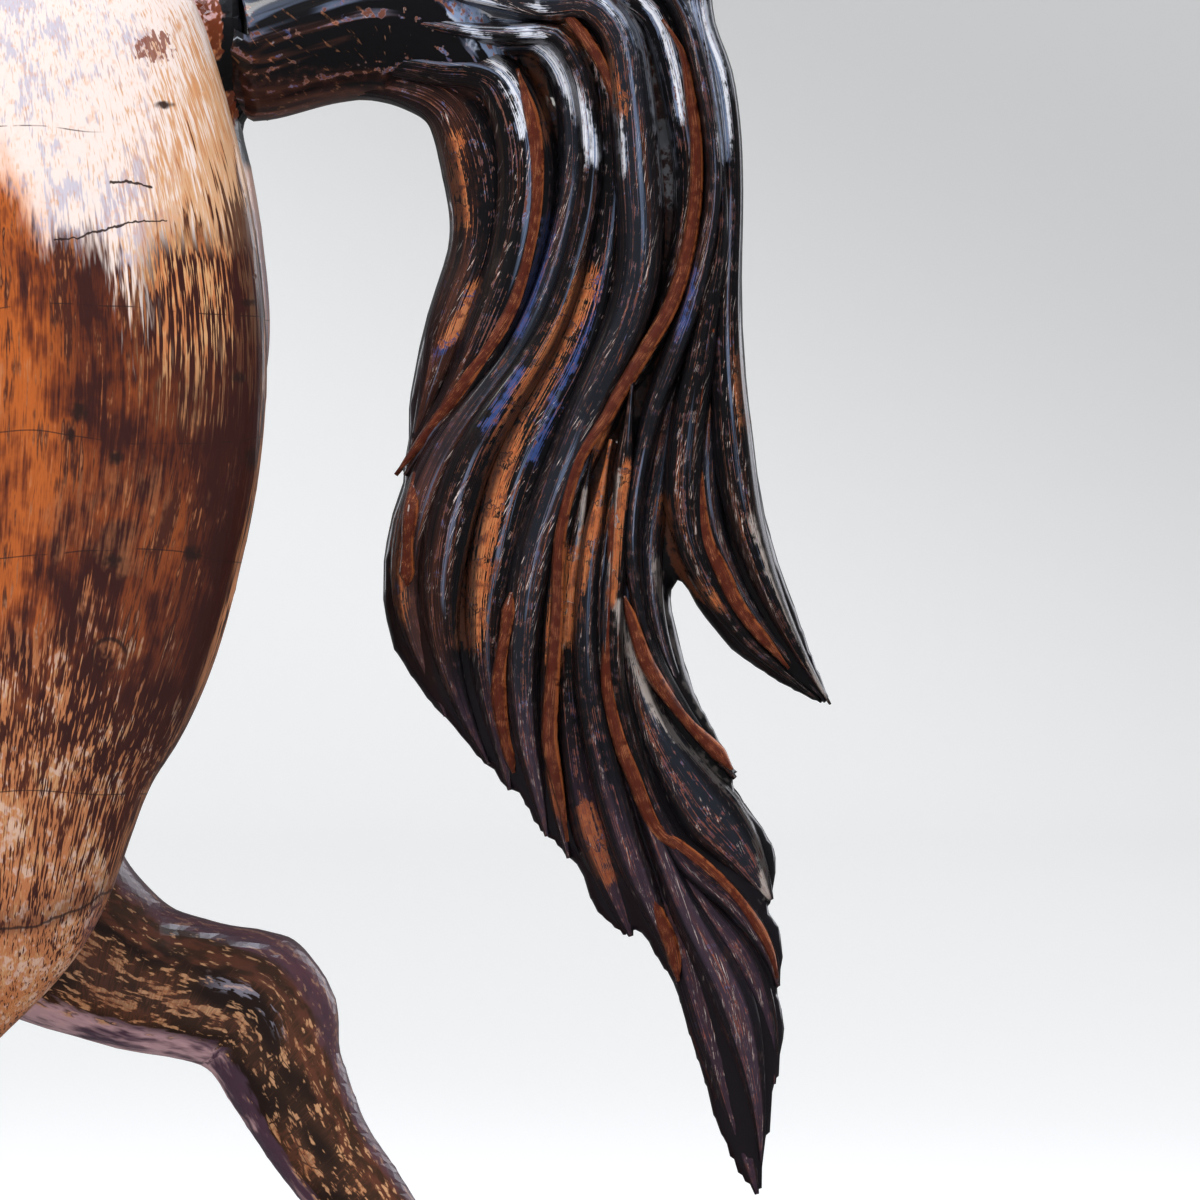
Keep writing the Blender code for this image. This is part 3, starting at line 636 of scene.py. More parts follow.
def mane_lock(bundle, number, start, reach, sweep, wave):
    """One lock of fine strands, from the crest down and back along the neck, thin at its tip."""
    t = np.linspace(0, 1, MANE_RINGS)
    shares = start - sweep * t**1.2
    angles = reach * t**0.8 + wave * np.sin(t * math.pi * 1.6)
    spots = [neck_surface(s, a, 0.5 + 0.9 * math.sin(math.pi * u)) for s, a, u in zip(shares, angles, t)]
    centres = np.array([spot[0] for spot in spots])
    outward = np.array([spot[1] for spot in spots])
    across_dirs, out_dirs = ring_directions(centres, outward)
    taper = np.clip(np.sin(math.pi * (0.22 + 0.76 * t)), 0.1, 1)
    for strand, side in enumerate(MANE_STRANDS):
        spread = side * MANE_HALF_WIDTH * GRID * taper * (1 + 0.1 * np.sin(5 * t + number + 2 * strand))
        height = 0.35 * GRID * np.sin(4 * t + 1.7 * strand + number)
        line = centres + across_dirs * spread[:, None] + out_dirs * height[:, None]
        thin = 0.42 * MANE_HALF_WIDTH * GRID * taper
        bm, rows, turns = tube(line, outward, thin, 0.85 * MANE_HALF_THICKNESS * GRID * taper, MANE_SIDES)
        tone = (number * TONE_STEP + strand * 0.27) % 1
        red = float((number + strand) % 7 == 3)
        bundle.add(bm, across=np.cos(turns), along=t[rows] * 30, tone=tone, cord=red)


def carve_mane():
    """The crest ridge, its locks on both sides of the neck, and the forelock."""
    bundle = Bundle("across", "along", "tone", "cord")
    crest = [neck_surface(share, 0.0, -0.6) for share in np.linspace(*CREST_SPAN, 30)]
    thick = np.full(len(crest), CREST_RADIUS * GRID)
    thick[[0, -1]] = CREST_END_RADIUS * GRID
    centres = np.array([spot[0] for spot in crest])
    bm, rows, turns = tube(centres, np.array([spot[1] for spot in crest]), thick, thick, 16)
    bundle.add(bm, across=np.cos(turns), along=rows * 1.5, tone=0.4, cord=0.0)
    for number, start in enumerate(np.linspace(MANE_FIRST, MANE_LAST, MANE_LOCKS)):
        ripple = MANE_RIPPLE * math.sin(2.1 * number)
        reach = MANE_NEAR_REACH * (1 - 0.14 * (number % 3)) - ripple
        room = min(MANE_SWEEP, start - MANE_LOWEST)
        mane_lock(bundle, number, start, reach, room, ripple)
        mane_lock(bundle, number + 20, start - 0.02, MANE_FAR_REACH - ripple, room * 0.8, ripple)
    for number, side in enumerate(FORELOCK_SIDES):
        rows = smooth_rows([(x, side * y, *rest) for x, y, *rest in FORELOCK])
        centres = np.array([in_frame(*row[:3]) for row in rows])
        bm, at, turns = tube(centres, ACROSS, rows[:, 3] * GRID, rows[:, 4] * GRID, 14)
        bundle.add(bm, across=np.sin(turns), along=at * 0.7, tone=number * 0.23, cord=0.0)
    return bundle.finished("mane")


def carve_horse(grain):
    """The body, neck, head, legs and tail stub as one closed carving."""
    bundle = Bundle()
    legs = [rows for rows, full, none in LEGS]
    for rows in (TRUNK, RUMP, TAIL_STUB, NECK, HEAD, EAR, mirrored(EAR), *legs):
        limb(bundle, rows)
    for rows in TENDONS:
        limb(bundle, rows, TENDON_SIDES)
    for place, radius in HOCK_POINTS:
        rounded(bundle, place, (radius, radius, radius))
    for (x, y, z), radii in HEAD_FORMS:
        rounded(bundle, (x, y, z), radii)
        rounded(bundle, (x, -y, z), radii)
    horse = voxel_body(bundle, "carved_horse", grain, BODY_SMOOTHING)
    cut_flat(horse, (0, 0, BASE_THICKNESS + TOUCH_GAP), (0, 0, -1))
    return horse


def mark_legs(horse):
    """Marks how far down a leg each point is, and its place along and around it, for the glaze."""
    places = points_of(horse.data)
    nearest = np.full(len(places), np.inf)
    grain = np.zeros((len(places), 3))
    glazed = np.zeros(len(places))
    side = np.zeros(len(places))
    for rows, full, none in LEGS:
        rows = smooth_rows(rows, 4)
        centres = np.array([in_frame(*row[:3]) for row in rows])
        across_dirs, out_dirs = ring_directions(centres, ACROSS)
        steps = np.linalg.norm(np.diff(centres, axis=0), axis=1)
        along = np.concatenate([[0], np.cumsum(steps)])
        gaps = np.linalg.norm(places[:, None] - centres[None], axis=2)
        at = gaps.argmin(1)
        gap = gaps[np.arange(len(places)), at]
        closer = gap < nearest
        offset = places - centres[at]
        down, across, out = ((offset * way[at]).sum(1) for way in (
            np.cross(out_dirs, across_dirs), across_dirs, out_dirs))
        made = np.column_stack([along[at] + down, across, out]) / UNIT
        share = np.clip((none - rows[at, 2]) / (none - full), 0, 1) * (gap < LEG_REACH * rows[at, 3] * GRID)
        grain[closer] = made[closer]
        glazed[closer] = share[closer]
        side[closer] = (across / (rows[at, 3] * GRID))[closer]
        nearest = np.minimum(nearest, gap)
    put_mark(horse.data, "grain", grain)
    put_mark(horse.data, "glazed", glazed)
    put_mark(horse.data, "side", side)


def lock_lines():
    """Each lock's line in the tail's plane, as points evenly spaced in grid units."""
    drawn = []
    for share, points in FANNED_LOCKS:
        fan = [np.add(np.multiply(inner, 1 - share), np.multiply(outer, share))
               for inner, outer in zip(INNER_ARCH, OUTER_ARCH)]
        drawn.append(np.vstack([fan, points]))
    drawn += [np.array(points, float) for points in RISING_LOCKS]
    return [evenly_along(smooth_rows(points, 6), LOCK_POINTS) for points in drawn]


def lock_half_widths(lines):
    """Half width of each lock at each point, from the distance to the nearest other lock."""
    widths = []
    for number, line in enumerate(lines):
        others = np.vstack([other for n, other in enumerate(lines) if n != number])
        nearest = np.linalg.norm(line[:, None] - others[None], axis=2).min(1)
        wide = np.clip(nearest * LOCK_OVERLAP, *LOCK_WIDTHS)
        widths.append(np.convolve(np.pad(wide, 3, mode="edge"), np.ones(7) / 7, "valid"))
    return widths


def tail_half_thickness(line):
    """Half thickness of the tail at each point of a lock: full over the arch, thin towards the tips."""
    fall = np.clip((line[:, 1] - THINS_BELOW) / (TIP_DROP - THINS_BELOW), 0, 1)
    return TAIL_HALF_THICKNESS + (TIP_HALF_THICKNESS - TAIL_HALF_THICKNESS) * fall**1.25


def finer(values, count):
    return np.interp(np.linspace(0, 1, count), np.linspace(0, 1, len(values)), values)


def fluted(number, along, depth):
    """Shallow flutes that run the length of a lock and drift slowly round it."""
    def swell(row, angles):
        drift = 0.05 * along[row] + number
        return 1 + depth * np.sin(7 * angles + drift) + 0.5 * depth * np.sin(11 * angles - 0.7 * drift)
    return swell


def voxel_body(bundle, name, grain, smoothing):
    """One closed body from overlapping shapes, with its joints worked over."""
    body = bundle.finished(name)
    merge = body.modifiers.new("One body", "REMESH")
    merge.mode = "VOXEL"
    merge.voxel_size = grain
    ease = body.modifiers.new("Worked joints", "SMOOTH")
    ease.iterations = smoothing
    apply_modifiers(body)
    return body


def tail_core(cores):
    """The wood behind the locks: one body, with the face count that a hidden form needs."""
    body = voxel_body(cores, "tail_core", CORE_GRAIN, 2)
    fewer = body.modifiers.new("Facets", "DECIMATE")
    fewer.ratio = min(1.0, CORE_TRIANGLES / (2 * len(body.data.polygons)))
    apply_modifiers(body)
    bm = bmesh.new()
    bm.from_mesh(body.data)
    bpy.data.objects.remove(body)
    return bm


def carve_tail(flute_depth):
    """The tail: a bundle of locks, each right through its thickness, with narrow cords laid over them."""
    bundle = Bundle("across", "along", "tone", "cord")
    cores = Bundle()
    lines = lock_lines()
    crests = []
    for number, (drawn, drawn_widths) in enumerate(zip(lines, lock_half_widths(lines))):
        line = evenly_along(smooth_rows(drawn, 3), LOCK_RINGS)
        wide = finer(drawn_widths, LOCK_RINGS)
        along = np.concatenate([[0], np.cumsum(np.linalg.norm(np.diff(line, axis=0), axis=1))])
        t = np.linspace(0, 1, LOCK_RINGS)
        fanned = number < len(FANNED_LOCKS)
        share = FANNED_LOCKS[number][0] if fanned else 0.5
        end = np.clip((1 - t) / TIP_LENGTH, 0, 1) ** 0.6
        start = np.ones(LOCK_RINGS) if fanned else np.clip(t / RISE_LENGTH, 0.3, 1)
        taper = np.maximum(end * start, 0.1)
        edge = math.sqrt(1 - (EDGE_FALL * (2 * share - 1)) ** 2) * (1 - t) + t
        thick = np.maximum(tail_half_thickness(line) * edge * np.maximum(end, 0.3), LEAST_HALF_THICKNESS)
        thick *= np.interp(line[:, 0], LOCKS_OPEN, (IN_DOCK, 1))
        lean = LOCK_LEAN * (-1) ** number
        centres = np.array([in_frame(TAIL_ORIGIN[0] + x, lean * w, TAIL_ORIGIN[1] + z)
                            for (x, z), w in zip(line, taper)])
        crests.append(np.column_stack([centres[:, 0], centres[:, 2], thick]))
        tone = (number * TONE_STEP) % 1
        core = np.linspace(0, LOCK_RINGS - 1, CORE_RINGS).astype(int)
        blunt = np.maximum(np.clip((1 - t) / CORE_TIP_LENGTH, 0, 1) ** 0.5 * start, 0.2)
        spread = EDGE_CORE_WIDE if number in EDGE_LOCKS else CORE_WIDE
        across = (spread * wide * blunt * GRID)[core]
        out = (CORE_THICK * thick * GRID)[core]
        cores.add(tube(centres[core], ACROSS, across, out, CORE_SIDES)[0])
        places = FACE_STRANDS + ((0.0,) if number in EDGE_LOCKS else ())
        for place in places:
            wander = 0.35 * np.sin(0.06 * along + 2.3 * number) * taper
            offset = (place * thick + math.copysign(1, place) * wander) * GRID
            strand = centres + np.outer(offset, ACROSS)
            ripple = 1 + 0.07 * np.sin(0.11 * along + 1.9 * number + place)
            flutes = fluted(number + 3 * place, along, flute_depth)
            across, out = wide * ripple * taper * GRID, FACE_STRAND_THICK * thick * GRID
            bm, rows, turns = tube(strand, ACROSS, across, out, LOCK_SIDES, flutes)
            bundle.add(bm, across=np.cos(turns), along=along[rows], tone=tone, cord=0.0)
    bundle.add(tail_core(cores), across=0.9, along=0.0, tone=0.5, cord=0.0)
    add_cords(bundle, np.vstack(crests))
    add_dock(bundle)
    tail = bundle.finished("carved_tail")
    mark_strokes(tail)
    return tail


def from_picture(pixels, depth):
    """(x, z) in metres of pixels of the photograph, at a depth in metres in front of the middle plane."""
    pixels = np.asarray(pixels, float)
    flat = PICTURE_MIDDLE + (pixels - PICTURE_MIDDLE) * (1 - depth / CAMERA_DISTANCE)
    return np.column_stack([
        (flat[:, 0] / PIXELS + PICTURE_LEFT) * UNIT,
        BASE_THICKNESS + (PICTURE_TOP - flat[:, 1] / PIXELS) * UNIT,
    ])


def add_cords(bundle, crests):
    """Narrow raised cords along the locks, at the same places on both faces."""
    for number, pixels in enumerate(TAIL_CORDS):
        path = evenly_along(smooth_rows(from_picture(pixels, TAIL_HALF_THICKNESS * GRID), 4), CORD_POINTS)
        gaps = np.linalg.norm(path[:, None] - crests[None, :, :2], axis=2)
        nearest = np.argsort(gaps, axis=1)[:, :8]
        height = np.convolve(np.pad(crests[nearest, 2].mean(1), 4, mode="edge"), np.ones(9) / 9, "valid")
        t = np.linspace(0, 1, len(path))
        taper = np.clip(np.minimum(t, 1 - t) / 0.1, 0.15, 1) ** 0.7
        radius = CORD_RADIUS * GRID * taper * (1 + 0.16 * np.sin(0.23 * np.arange(len(path)) + 2 * number))
        for side in (-1, 1):
            centres = np.column_stack([path[:, 0], side * (height - CORD_SUNK) * GRID, path[:, 1]])
            bm, rows, turns = tube(centres, ACROSS, radius, 1.15 * radius, CORD_SIDES)
            bundle.add(bm, across=np.cos(turns), along=rows * 1.2, tone=number * 0.13, cord=1.0)


def add_dock(bundle):
    """The smooth dock, from the joint to where the locks open."""
    rows = smooth_rows(DOCK)
    centres = np.array([in_frame(TAIL_ORIGIN[0] + row[0], 0, TAIL_ORIGIN[1] + row[1]) for row in rows])
    bm, at, turns = tube(centres, ACROSS, rows[:, 2] * GRID, rows[:, 3] * GRID, 40)
    bundle.add(bm, across=0.3 * np.cos(turns), along=at * 0.5, tone=0.5, cord=0.0)


def mark_strokes(tail):
    """Marks the places where the black is worn to bare wood or shows blue, and where highlights are painted,
    on both faces.
    """
    places = points_of(tail.data)
    near = 1 + np.abs(places[:, 1]) / CAMERA_DISTANCE
    across = (places[:, 0] / UNIT - PICTURE_LEFT) * PIXELS
    down = (PICTURE_TOP - (places[:, 2] - BASE_THICKNESS) / UNIT) * PIXELS
    pixels = PICTURE_MIDDLE + (np.column_stack([across, down]) - PICTURE_MIDDLE) * near[:, None]
    for name, strokes in STROKES:
        mark = np.zeros(len(pixels))
        for half_width, points in strokes:
            path = evenly_along(smooth_rows(points, 4), STROKE_POINTS)
            gap = np.full(len(pixels), np.inf)
            for spot in path:
                gap = np.minimum(gap, np.hypot(*(pixels - spot).T))
            mark = np.maximum(mark, np.clip(1.5 - gap / half_width, 0, 1))
        put_mark(tail.data, name, mark)


class Value:
    """A number that varies over a surface: a node's output, times a factor, plus an offset.

    Arithmetic between values adds Math nodes to their finish. Plain numbers only change factor and offset.
    """

    def __init__(self, finish, output, factor=1.0, offset=0.0):
        self.finish = finish
        self.output = output
        self.factor = factor
        self.offset = offset

    @property
    def socket(self):
        """The output that carries this number. A factor or an offset takes one node."""
        if self.factor != 1 or self.offset != 0:
            made = self.maths("MULTIPLY_ADD", self.bare(), self.factor, self.offset)
            self.output, self.factor, self.offset = made.output, 1.0, 0.0
        return self.output

    def bare(self):
        return Value(self.finish, self.output)

    def maths(self, operation, *values):
        return self.finish.node("Math", {"operation": operation}, dict(enumerate(values)))

    def __add__(self, other):
        if not isinstance(other, Value):
            return Value(self.finish, self.output, self.factor, self.offset + other)
        made = self.maths("MULTIPLY_ADD", self.bare(), self.factor / other.factor, other.bare())
        return Value(self.finish, made.output, other.factor, self.offset + other.offset)

    __radd__ = __add__

    def __sub__(self, other):
        return self + other * -1

    def __rsub__(self, other):
        return self * -1 + other

    def __mul__(self, other):
        if not isinstance(other, Value):
            return Value(self.finish, self.output, self.factor * other, self.offset * other)
        factors = [value if value.offset else value.bare() for value in (self, other)]
        made = self.maths("MULTIPLY", *factors)
        return Value(self.finish, made.output, self.factor * other.factor)

    __rmul__ = __mul__

    def __truediv__(self, number):
        return self * (1 / number)

    def __abs__(self):
        return self.maths("ABSOLUTE", self)

    def root(self):
        return self.maths("SQRT", self)

    def lowest(self, other):
        return self.maths("MINIMUM", self, other)

    def highest(self, other):
        return self.maths("MAXIMUM", self, other)

    def sine(self):
        return self.maths("SINE", self)

    def swing(self, size):
        """A noise from 0 to 1 as a swing about zero."""
        return (self - 0.5) * size

    def share(self, none, full):
        """0 at none, 1 at full and smooth between them, whichever is the higher."""
        ends = [(end - self.offset) / self.factor for end in (none, full)]
        return self.finish.node(
            "MapRange", {"interpolation_type": "SMOOTHSTEP"},
            {"Value": self.bare(), "From Min": ends[0], "From Max": ends[1], "To Min": 0.0, "To Max": 1.0},
        )


class Recipe:
    """A node tree in the making."""

    def __init__(self, tree):
        self.tree = tree

    def node(self, kind, settings=None, values=None, out=0):
        made = self.tree.nodes.new("ShaderNode" + kind)
        for name, setting in (settings or {}).items():
            setattr(made, name, setting)
        for name, value in (values or {}).items():
            socket = made.inputs[name]
            if isinstance(value, Value):
                self.tree.links.new(value.socket, socket)
            elif socket.type == "RGBA":
                socket.default_value = (*value[:3], 1)
            else:
                socket.default_value = value
        return Value(self, made.outputs[out])


UNDERCOAT_GLOSS = 0.12  # the wood under the lacquer reflects little
LACQUER_IOR = 1.5


class Finish(Recipe):
    """A material in the making, with the drawing's coordinates u across, v down and w in depth, in units."""

    def __init__(self, name, roughness, coat=0.0, coat_roughness=0.06):
        self.material = bpy.data.materials.new(name)
        self.material.use_nodes = True
        super().__init__(self.material.node_tree)
        self.shader = self.tree.nodes["Principled BSDF"]
        for socket, value in (
            ("Specular IOR Level", UNDERCOAT_GLOSS), ("IOR", LACQUER_IOR), ("Roughness", roughness),
            ("Coat Weight", coat), ("Coat Roughness", coat_roughness),
        ):
            self.shader.inputs[socket].default_value = value
        self.place = self.node("TexCoord", out="Object")
        x, y, z = self.split(self.place)
        self.u = x / UNIT - PICTURE_LEFT
        self.v = (BASE_THICKNESS - z) / UNIT + PICTURE_TOP
        self.w = y / UNIT
        self.drawing = self.join(self.u, self.w, self.v)

    def on_haunch(self):
        """u and v as the photograph has them on the near haunch, in front of the middle plane."""
        middle = PICTURE_MIDDLE / PIXELS
        shrink = 1 - HAUNCH_DEPTH / CAMERA_DISTANCE
        return (self.u - middle) / shrink + middle, (self.v - middle) / shrink + middle

    def split(self, vector):
        made = self.node("SeparateXYZ", values={0: vector}).socket.node
        return [Value(self, socket) for socket in made.outputs]

    def join(self, x, y, z):
        return self.node("CombineXYZ", values={0: x, 1: y, 2: z})

    def mark(self, name, out="Fac"):
        return self.node("Attribute", {"attribute_name": name}, out=out)

    def noise(self, vector, scale, detail, distortion=0.0):
        """Noise from 0 to 1 on a vector stretched by scale."""
        laid = self.node("Mapping", values={"Vector": vector, "Scale": scale})
        return self.node("TexNoise", values={
            "Vector": laid, "Scale": 1.0, "Detail": detail, "Roughness": 0.55, "Distortion": distortion,
        })

    def blend(self, share, first, second):
        """A colour: the first where the share is 0, the second where it is 1."""
        return self.node("Mix", {"data_type": "RGBA"}, {0: share, 6: first, 7: second}, 2)

    def spot(self, centre, radii, ragged=0.0):
        """1 in the middle of an oval place of the drawing, 0 outside it."""
        return (from_oval(self.u, self.v, centre, radii) + ragged).share(1.0, 0.35)

    def plug_in(self, socket, value):
        self.tree.links.new(value.socket, self.shader.inputs[socket])

    def relief(self, height_mm):
        """Bump from a height in millimetres."""
        normal = self.node("Bump", values={"Strength": 1.0, "Distance": 0.001, "Height": height_mm})
        self.plug_in("Normal", normal)


def from_oval(u, v, centre, radii):
    """Square of the distance from an oval's centre, 1 on the oval."""
    across = (u - centre[0]) / radii[0]
    down = (v - centre[1]) / radii[1]
    return across * across + down * down


def from_line(u, v, start, stop):
    """Square of the distance from a straight line between two places."""
    run = np.subtract(stop, start)
    length = math.hypot(*run)
    ahead, aside = run / length
    u, v = u - start[0], v - start[1]
    along = (u * ahead + v * aside).highest(0.0).lowest(length)
    return from_oval(u - along * ahead, v - along * aside, (0, 0), (1, 1))


# Marks on the near haunch, in the photograph's pixels. A crack has its two ends and its half width.
CRACKS = (
    ((55, 240), (78, 238), 1.2),
    ((78, 238), (92, 232), 1.5),
    ((92, 232), (104, 230), 1.5),
    ((104, 230), (128, 222), 1.5),
    ((128, 222), (165, 219), 1.1),
    ((110, 182), (130, 181), 1.8),
    ((130, 181), (150, 186), 1.5),
)
# A knot has its centre and its radii across and down.
KNOTS = (
    ((80, 412), (9, 10)), ((72, 436), (4, 8)), ((116, 458), (9, 7)), ((112, 561), (10, 7)),
    ((190, 553), (9, 8)), ((247, 457), (6, 12)), ((162, 102), (9, 4)), ((236, 376), (7, 5)),
    ((246, 300), (8, 4)),
)
TOP_KNOT = ((150, 43), (17, 14))
WOOD_PLUG = ((108, 655), 16)
# Glue lines: place down the drawing in units, and how far each one waves
GLUE_LINES = ((1.29, 0.02), (3.09, -0.05), (4.38, -0.06), (5.55, 0.06), (7.95, 0.03))


def horse_finish(colours):
    """Worn lacquer: cream over the back partly as painted top light, rust and mahogany on the sides with
    painted shade towards the rear edge, and dark glazed legs with painted glints and reflections.
    """
    made = Finish("lacquered_horse", roughness=0.38, coat=0.6, coat_roughness=0.2)
    u, v = made.on_haunch()
    near = made.w.share(0.0, -0.1)
    bent = u + (v - 3.5) * (v - 3.5) * 0.062 * u.share(-1.0, 2.2)
    brushed = made.join(bent, made.w, v)
    strokes = made.noise(brushed, (26, 26, 1.5), 2)
    hairs = made.noise(brushed, (52, 52, 3.2), 1)
    bands = made.noise(brushed, (4.6, 4.6, 0.45), 1)
    clouds = made.noise(made.drawing, (1.1, 1.1, 0.8), 1)
    mottle = made.noise(made.drawing, (3.4, 3.4, 2.4), 3)
    speckle = made.noise(made.drawing, (17, 17, 12), 1)

    # Rust and orange on the flank, with mahogany in broad vertical strokes, and painted shade darkening it
    # towards the rear edge
    left = u.share(0.95, 0.2) * u.share(-1.6, -0.4)
    depth = clouds.swing(2.2) + mottle.swing(2.6) + bands.swing(1.8) + strokes.swing(1.4) + hairs.swing(0.9)
    # Painted shade: less orange towards the haunch's rear edge
    depth = depth + left * 0.42 - u.share(1.3, 2.4) * 0.3 + 0.5
    colour = made.blend(depth.share(-0.05, 0.75), colours.mahogany, colours.rust)
    colour = made.blend(depth.share(0.45, 1.35), colour, colours.orange)
    deep = bands.swing(4.6) + mottle.swing(4.4) + strokes.swing(4.4) + hairs.swing(2.0) + clouds.swing(2)
    # Painted shade: more mahogany towards the haunch's rear edge
    deep = deep + u.share(1.2, 2.3) * 0.75 + v.share(3.6, 2.4) * 0.8 * u.share(0.1, 0.5) - left * 0.35 - 0.12
    deep = deep.share(0.0, 1.1)
    colour = made.blend(deep * 0.94, colour, colours.mahogany)
    warm = made.spot((1.25, 5.15), (0.75, 0.5), mottle.swing(5))
    warm = warm * (strokes.swing(3) + speckle.swing(0.8) + 0.1).share(-0.3, 0.7)
    colour = made.blend(warm * 0.32, colour, colours.copper)
    worn = (strokes.swing(5) + hairs.swing(3) + mottle.swing(3.4) + speckle.swing(1.5)).share(0.75, 1.6)
    colour = made.blend(worn * 0.55, colour, colours.copper)
    rim = (u + hairs.swing(0.1) + (v - 3.6) * (v - 3.6) * 0.062).share(2.52, 2.62)
    colour = made.blend(rim * strokes.share(0.42, 0.52) * 0.9, colour, colours.tan)

    # Cream and tan strokes low on the haunch and under the belly
    strip = made.spot((-0.1, 4.1), (0.34, 1.3), mottle.swing(2.4))
    beneath = (v + strokes.swing(1.2) + (clouds - 0.5)).share(6.1, 7.2)
    colour = made.blend(beneath * (0.45 + bands * 0.7), colour, colours.mahogany)
    reach = (v - 7.0) * 0.55 + (0.55 - u) * u.share(-1.0, 0.0) * 1.1 + u.share(0.0, -1.4) * 0.2
    low = (strokes.swing(7.0) + hairs.swing(3.0) + mottle.swing(2.4) + reach * 0.5).share(0.05, 0.6)
    low = low * v.share(5.8, 7.0) * (1 - u.share(0.9, 1.7) * 0.6)
    low = low.highest(strip * (0.35 + strokes.share(0.4, 0.56) * 0.6))
    low_colour = made.blend((mottle + hairs.swing(0.8)).share(0.50, 0.74), colours.copper, colours.ochre)
    low_colour = made.blend((speckle + mottle - 0.5).share(0.56, 0.72) * 0.4, low_colour, colours.cream)
    colour = made.blend(low * 0.8, colour, low_colour)

    # Cream over the back, down to a ragged brushed edge: worn pale lacquer, lightened by painted top light
    rise = (-9.05 - u).highest(0.0) * 2
    edge = 1.85 + u.share(0.0, 0.5) * 0.55 + abs(u - 1.42).share(0.5, 0.1) * 0.62 + u.share(1.9, 2.4) * 0.5
    edge = edge + clouds.swing(2.2) * u.share(0.0, -1.5)
    ragged = 0.3 + u.share(0.9, 1.7) * 1.3 + u.share(0.0, -1.0) * 0.9
    ragged = (strokes.swing(2.6) + bands.swing(1.4)) * ragged
    pale = (v + rise + ragged - edge).share(0.22, -0.22)
    grained = (strokes.swing(2.8) + hairs.swing(2.0) + mottle.swing(1.4) + (u + v * 0.3 - 1.5) * 1.1)
    pale_colour = made.blend(grained.share(0.1, 1.1) * 0.9, colours.cream, colours.ochre)
    streaks = (hairs + strokes.swing(0.8)).share(0.54, 0.64) * grained.share(0.5, 1.5)
    pale_colour = made.blend(streaks * 0.6, pale_colour, colours.copper)
    low_edge = (v - edge + mottle.swing(1.6)).share(-0.75, 0.1) * u.share(0.7, 0.2)
    pale_colour = made.blend(low_edge * 0.8, pale_colour, colours.tan)
    smudge_and_sheen = mottle.swing(3.6) + strokes.swing(3.0) + (clouds - 0.5) + v.share(0.9, 2.2) * 0.3
    smudge_and_sheen = (smudge_and_sheen + made.spot((0.32, 0.3), (0.5, 0.42)) * 0.5).share(0.28, 0.7) * u.share(1.9, 1.2)
    pale_colour = made.blend(smudge_and_sheen * 0.75, pale_colour, colours.smudge_and_sheen)
    dabs = (speckle * 0.6 + mottle * 0.4).share(0.58, 0.64)
    pale_colour = made.blend(dabs * 0.22, pale_colour, colours.tan)
    pores = hairs.share(0.60, 0.68) * 0.5 + (speckle - 0.5).share(0.0, 0.4) * 0.25
    pale_colour = made.blend(pores, pale_colour, colours.ochre)
    colour = made.blend(pale, colour, pale_colour)

    # Hair strokes of cream over mahogany behind the haunch, and painted shade along its rear edge
    patch = u.share(1.25, 1.65) * v.share(2.1, 2.6) * (v + (clouds - 0.5)).share(4.5, 3.3)
    stroke = (strokes * 0.6 + hairs * 0.25 + mottle * 0.15 + (3.4 - v) * 0.035).share(0.49, 0.55)
    stroke_colour = made.blend((hairs + mottle.swing(1.2)).share(0.46, 0.66), colours.copper, colours.ochre)
    colour = made.blend(patch, colour, made.blend(stroke, colours.mahogany, stroke_colour))
    edge_shade = (bent + strokes.swing(0.9)).share(2.30, 2.40) * (v + strokes.swing(2.4)).share(1.75, 1.95)
    edge_shade = edge_shade * v.share(7.5, 6.5) * (bent + strokes.swing(0.2)).share(2.66, 2.58)
    colour = made.blend(edge_shade * 0.85, colour, colours.mahogany)

    # Painted reflection and rim light: the pale side of the rump, seen past the near haunch
    rump_reflection = abs(made.w).share(1.12, 1.02) * u.share(1.9, 2.2) * v.share(1.1, 1.4) * v.share(9.0, 8.0)
    rump_reflection_colour = made.blend((strokes * 0.5 + mottle * 0.5).share(0.4, 0.62), colours.smudge_and_sheen, colours.lilac)
    colour = made.blend(rump_reflection * (0.3 + abs(made.w).share(0.75, 0.95) * 0.6), colour, rump_reflection_colour)

    # Glue lines between the planks, and the joint of the leg
    wave = clouds.swing(0.12)
    lines = functools.reduce(Value.highest, (
        abs(v + wave + swing * (u * 2.1 + down).sine() - down).share(0.010, 0.003)
        for down, swing in GLUE_LINES
    ))
    lines = lines * mottle.share(0.38, 0.5) * u.share(1.1, 0.7).highest(v.share(1.6, 2.0))
    colour = made.blend(lines * 0.75, colour, colours.seam)
    joint_down = v + u * u * 0.33 - 9.3
    joint = abs(joint_down + mottle.swing(0.14)).share(0.020, 0.006) * near * u.share(-2.0, -1.0)
    shade = (joint_down + strokes.swing(0.6)).share(-0.3, 0.0) * joint_down.share(0.12, 0.0) * near
    colour = made.blend(shade * 0.5 * u.share(-2.0, -1.0), colour, colours.mahogany)
    colour = made.blend(joint * 0.8, colour, colours.seam)
    cool = (joint_down + mottle.swing(0.6)).share(0.0, 0.3) * bent.share(1.9, 2.2) * near
    colour = made.blend(cool * 0.7, colour, colours.plum)

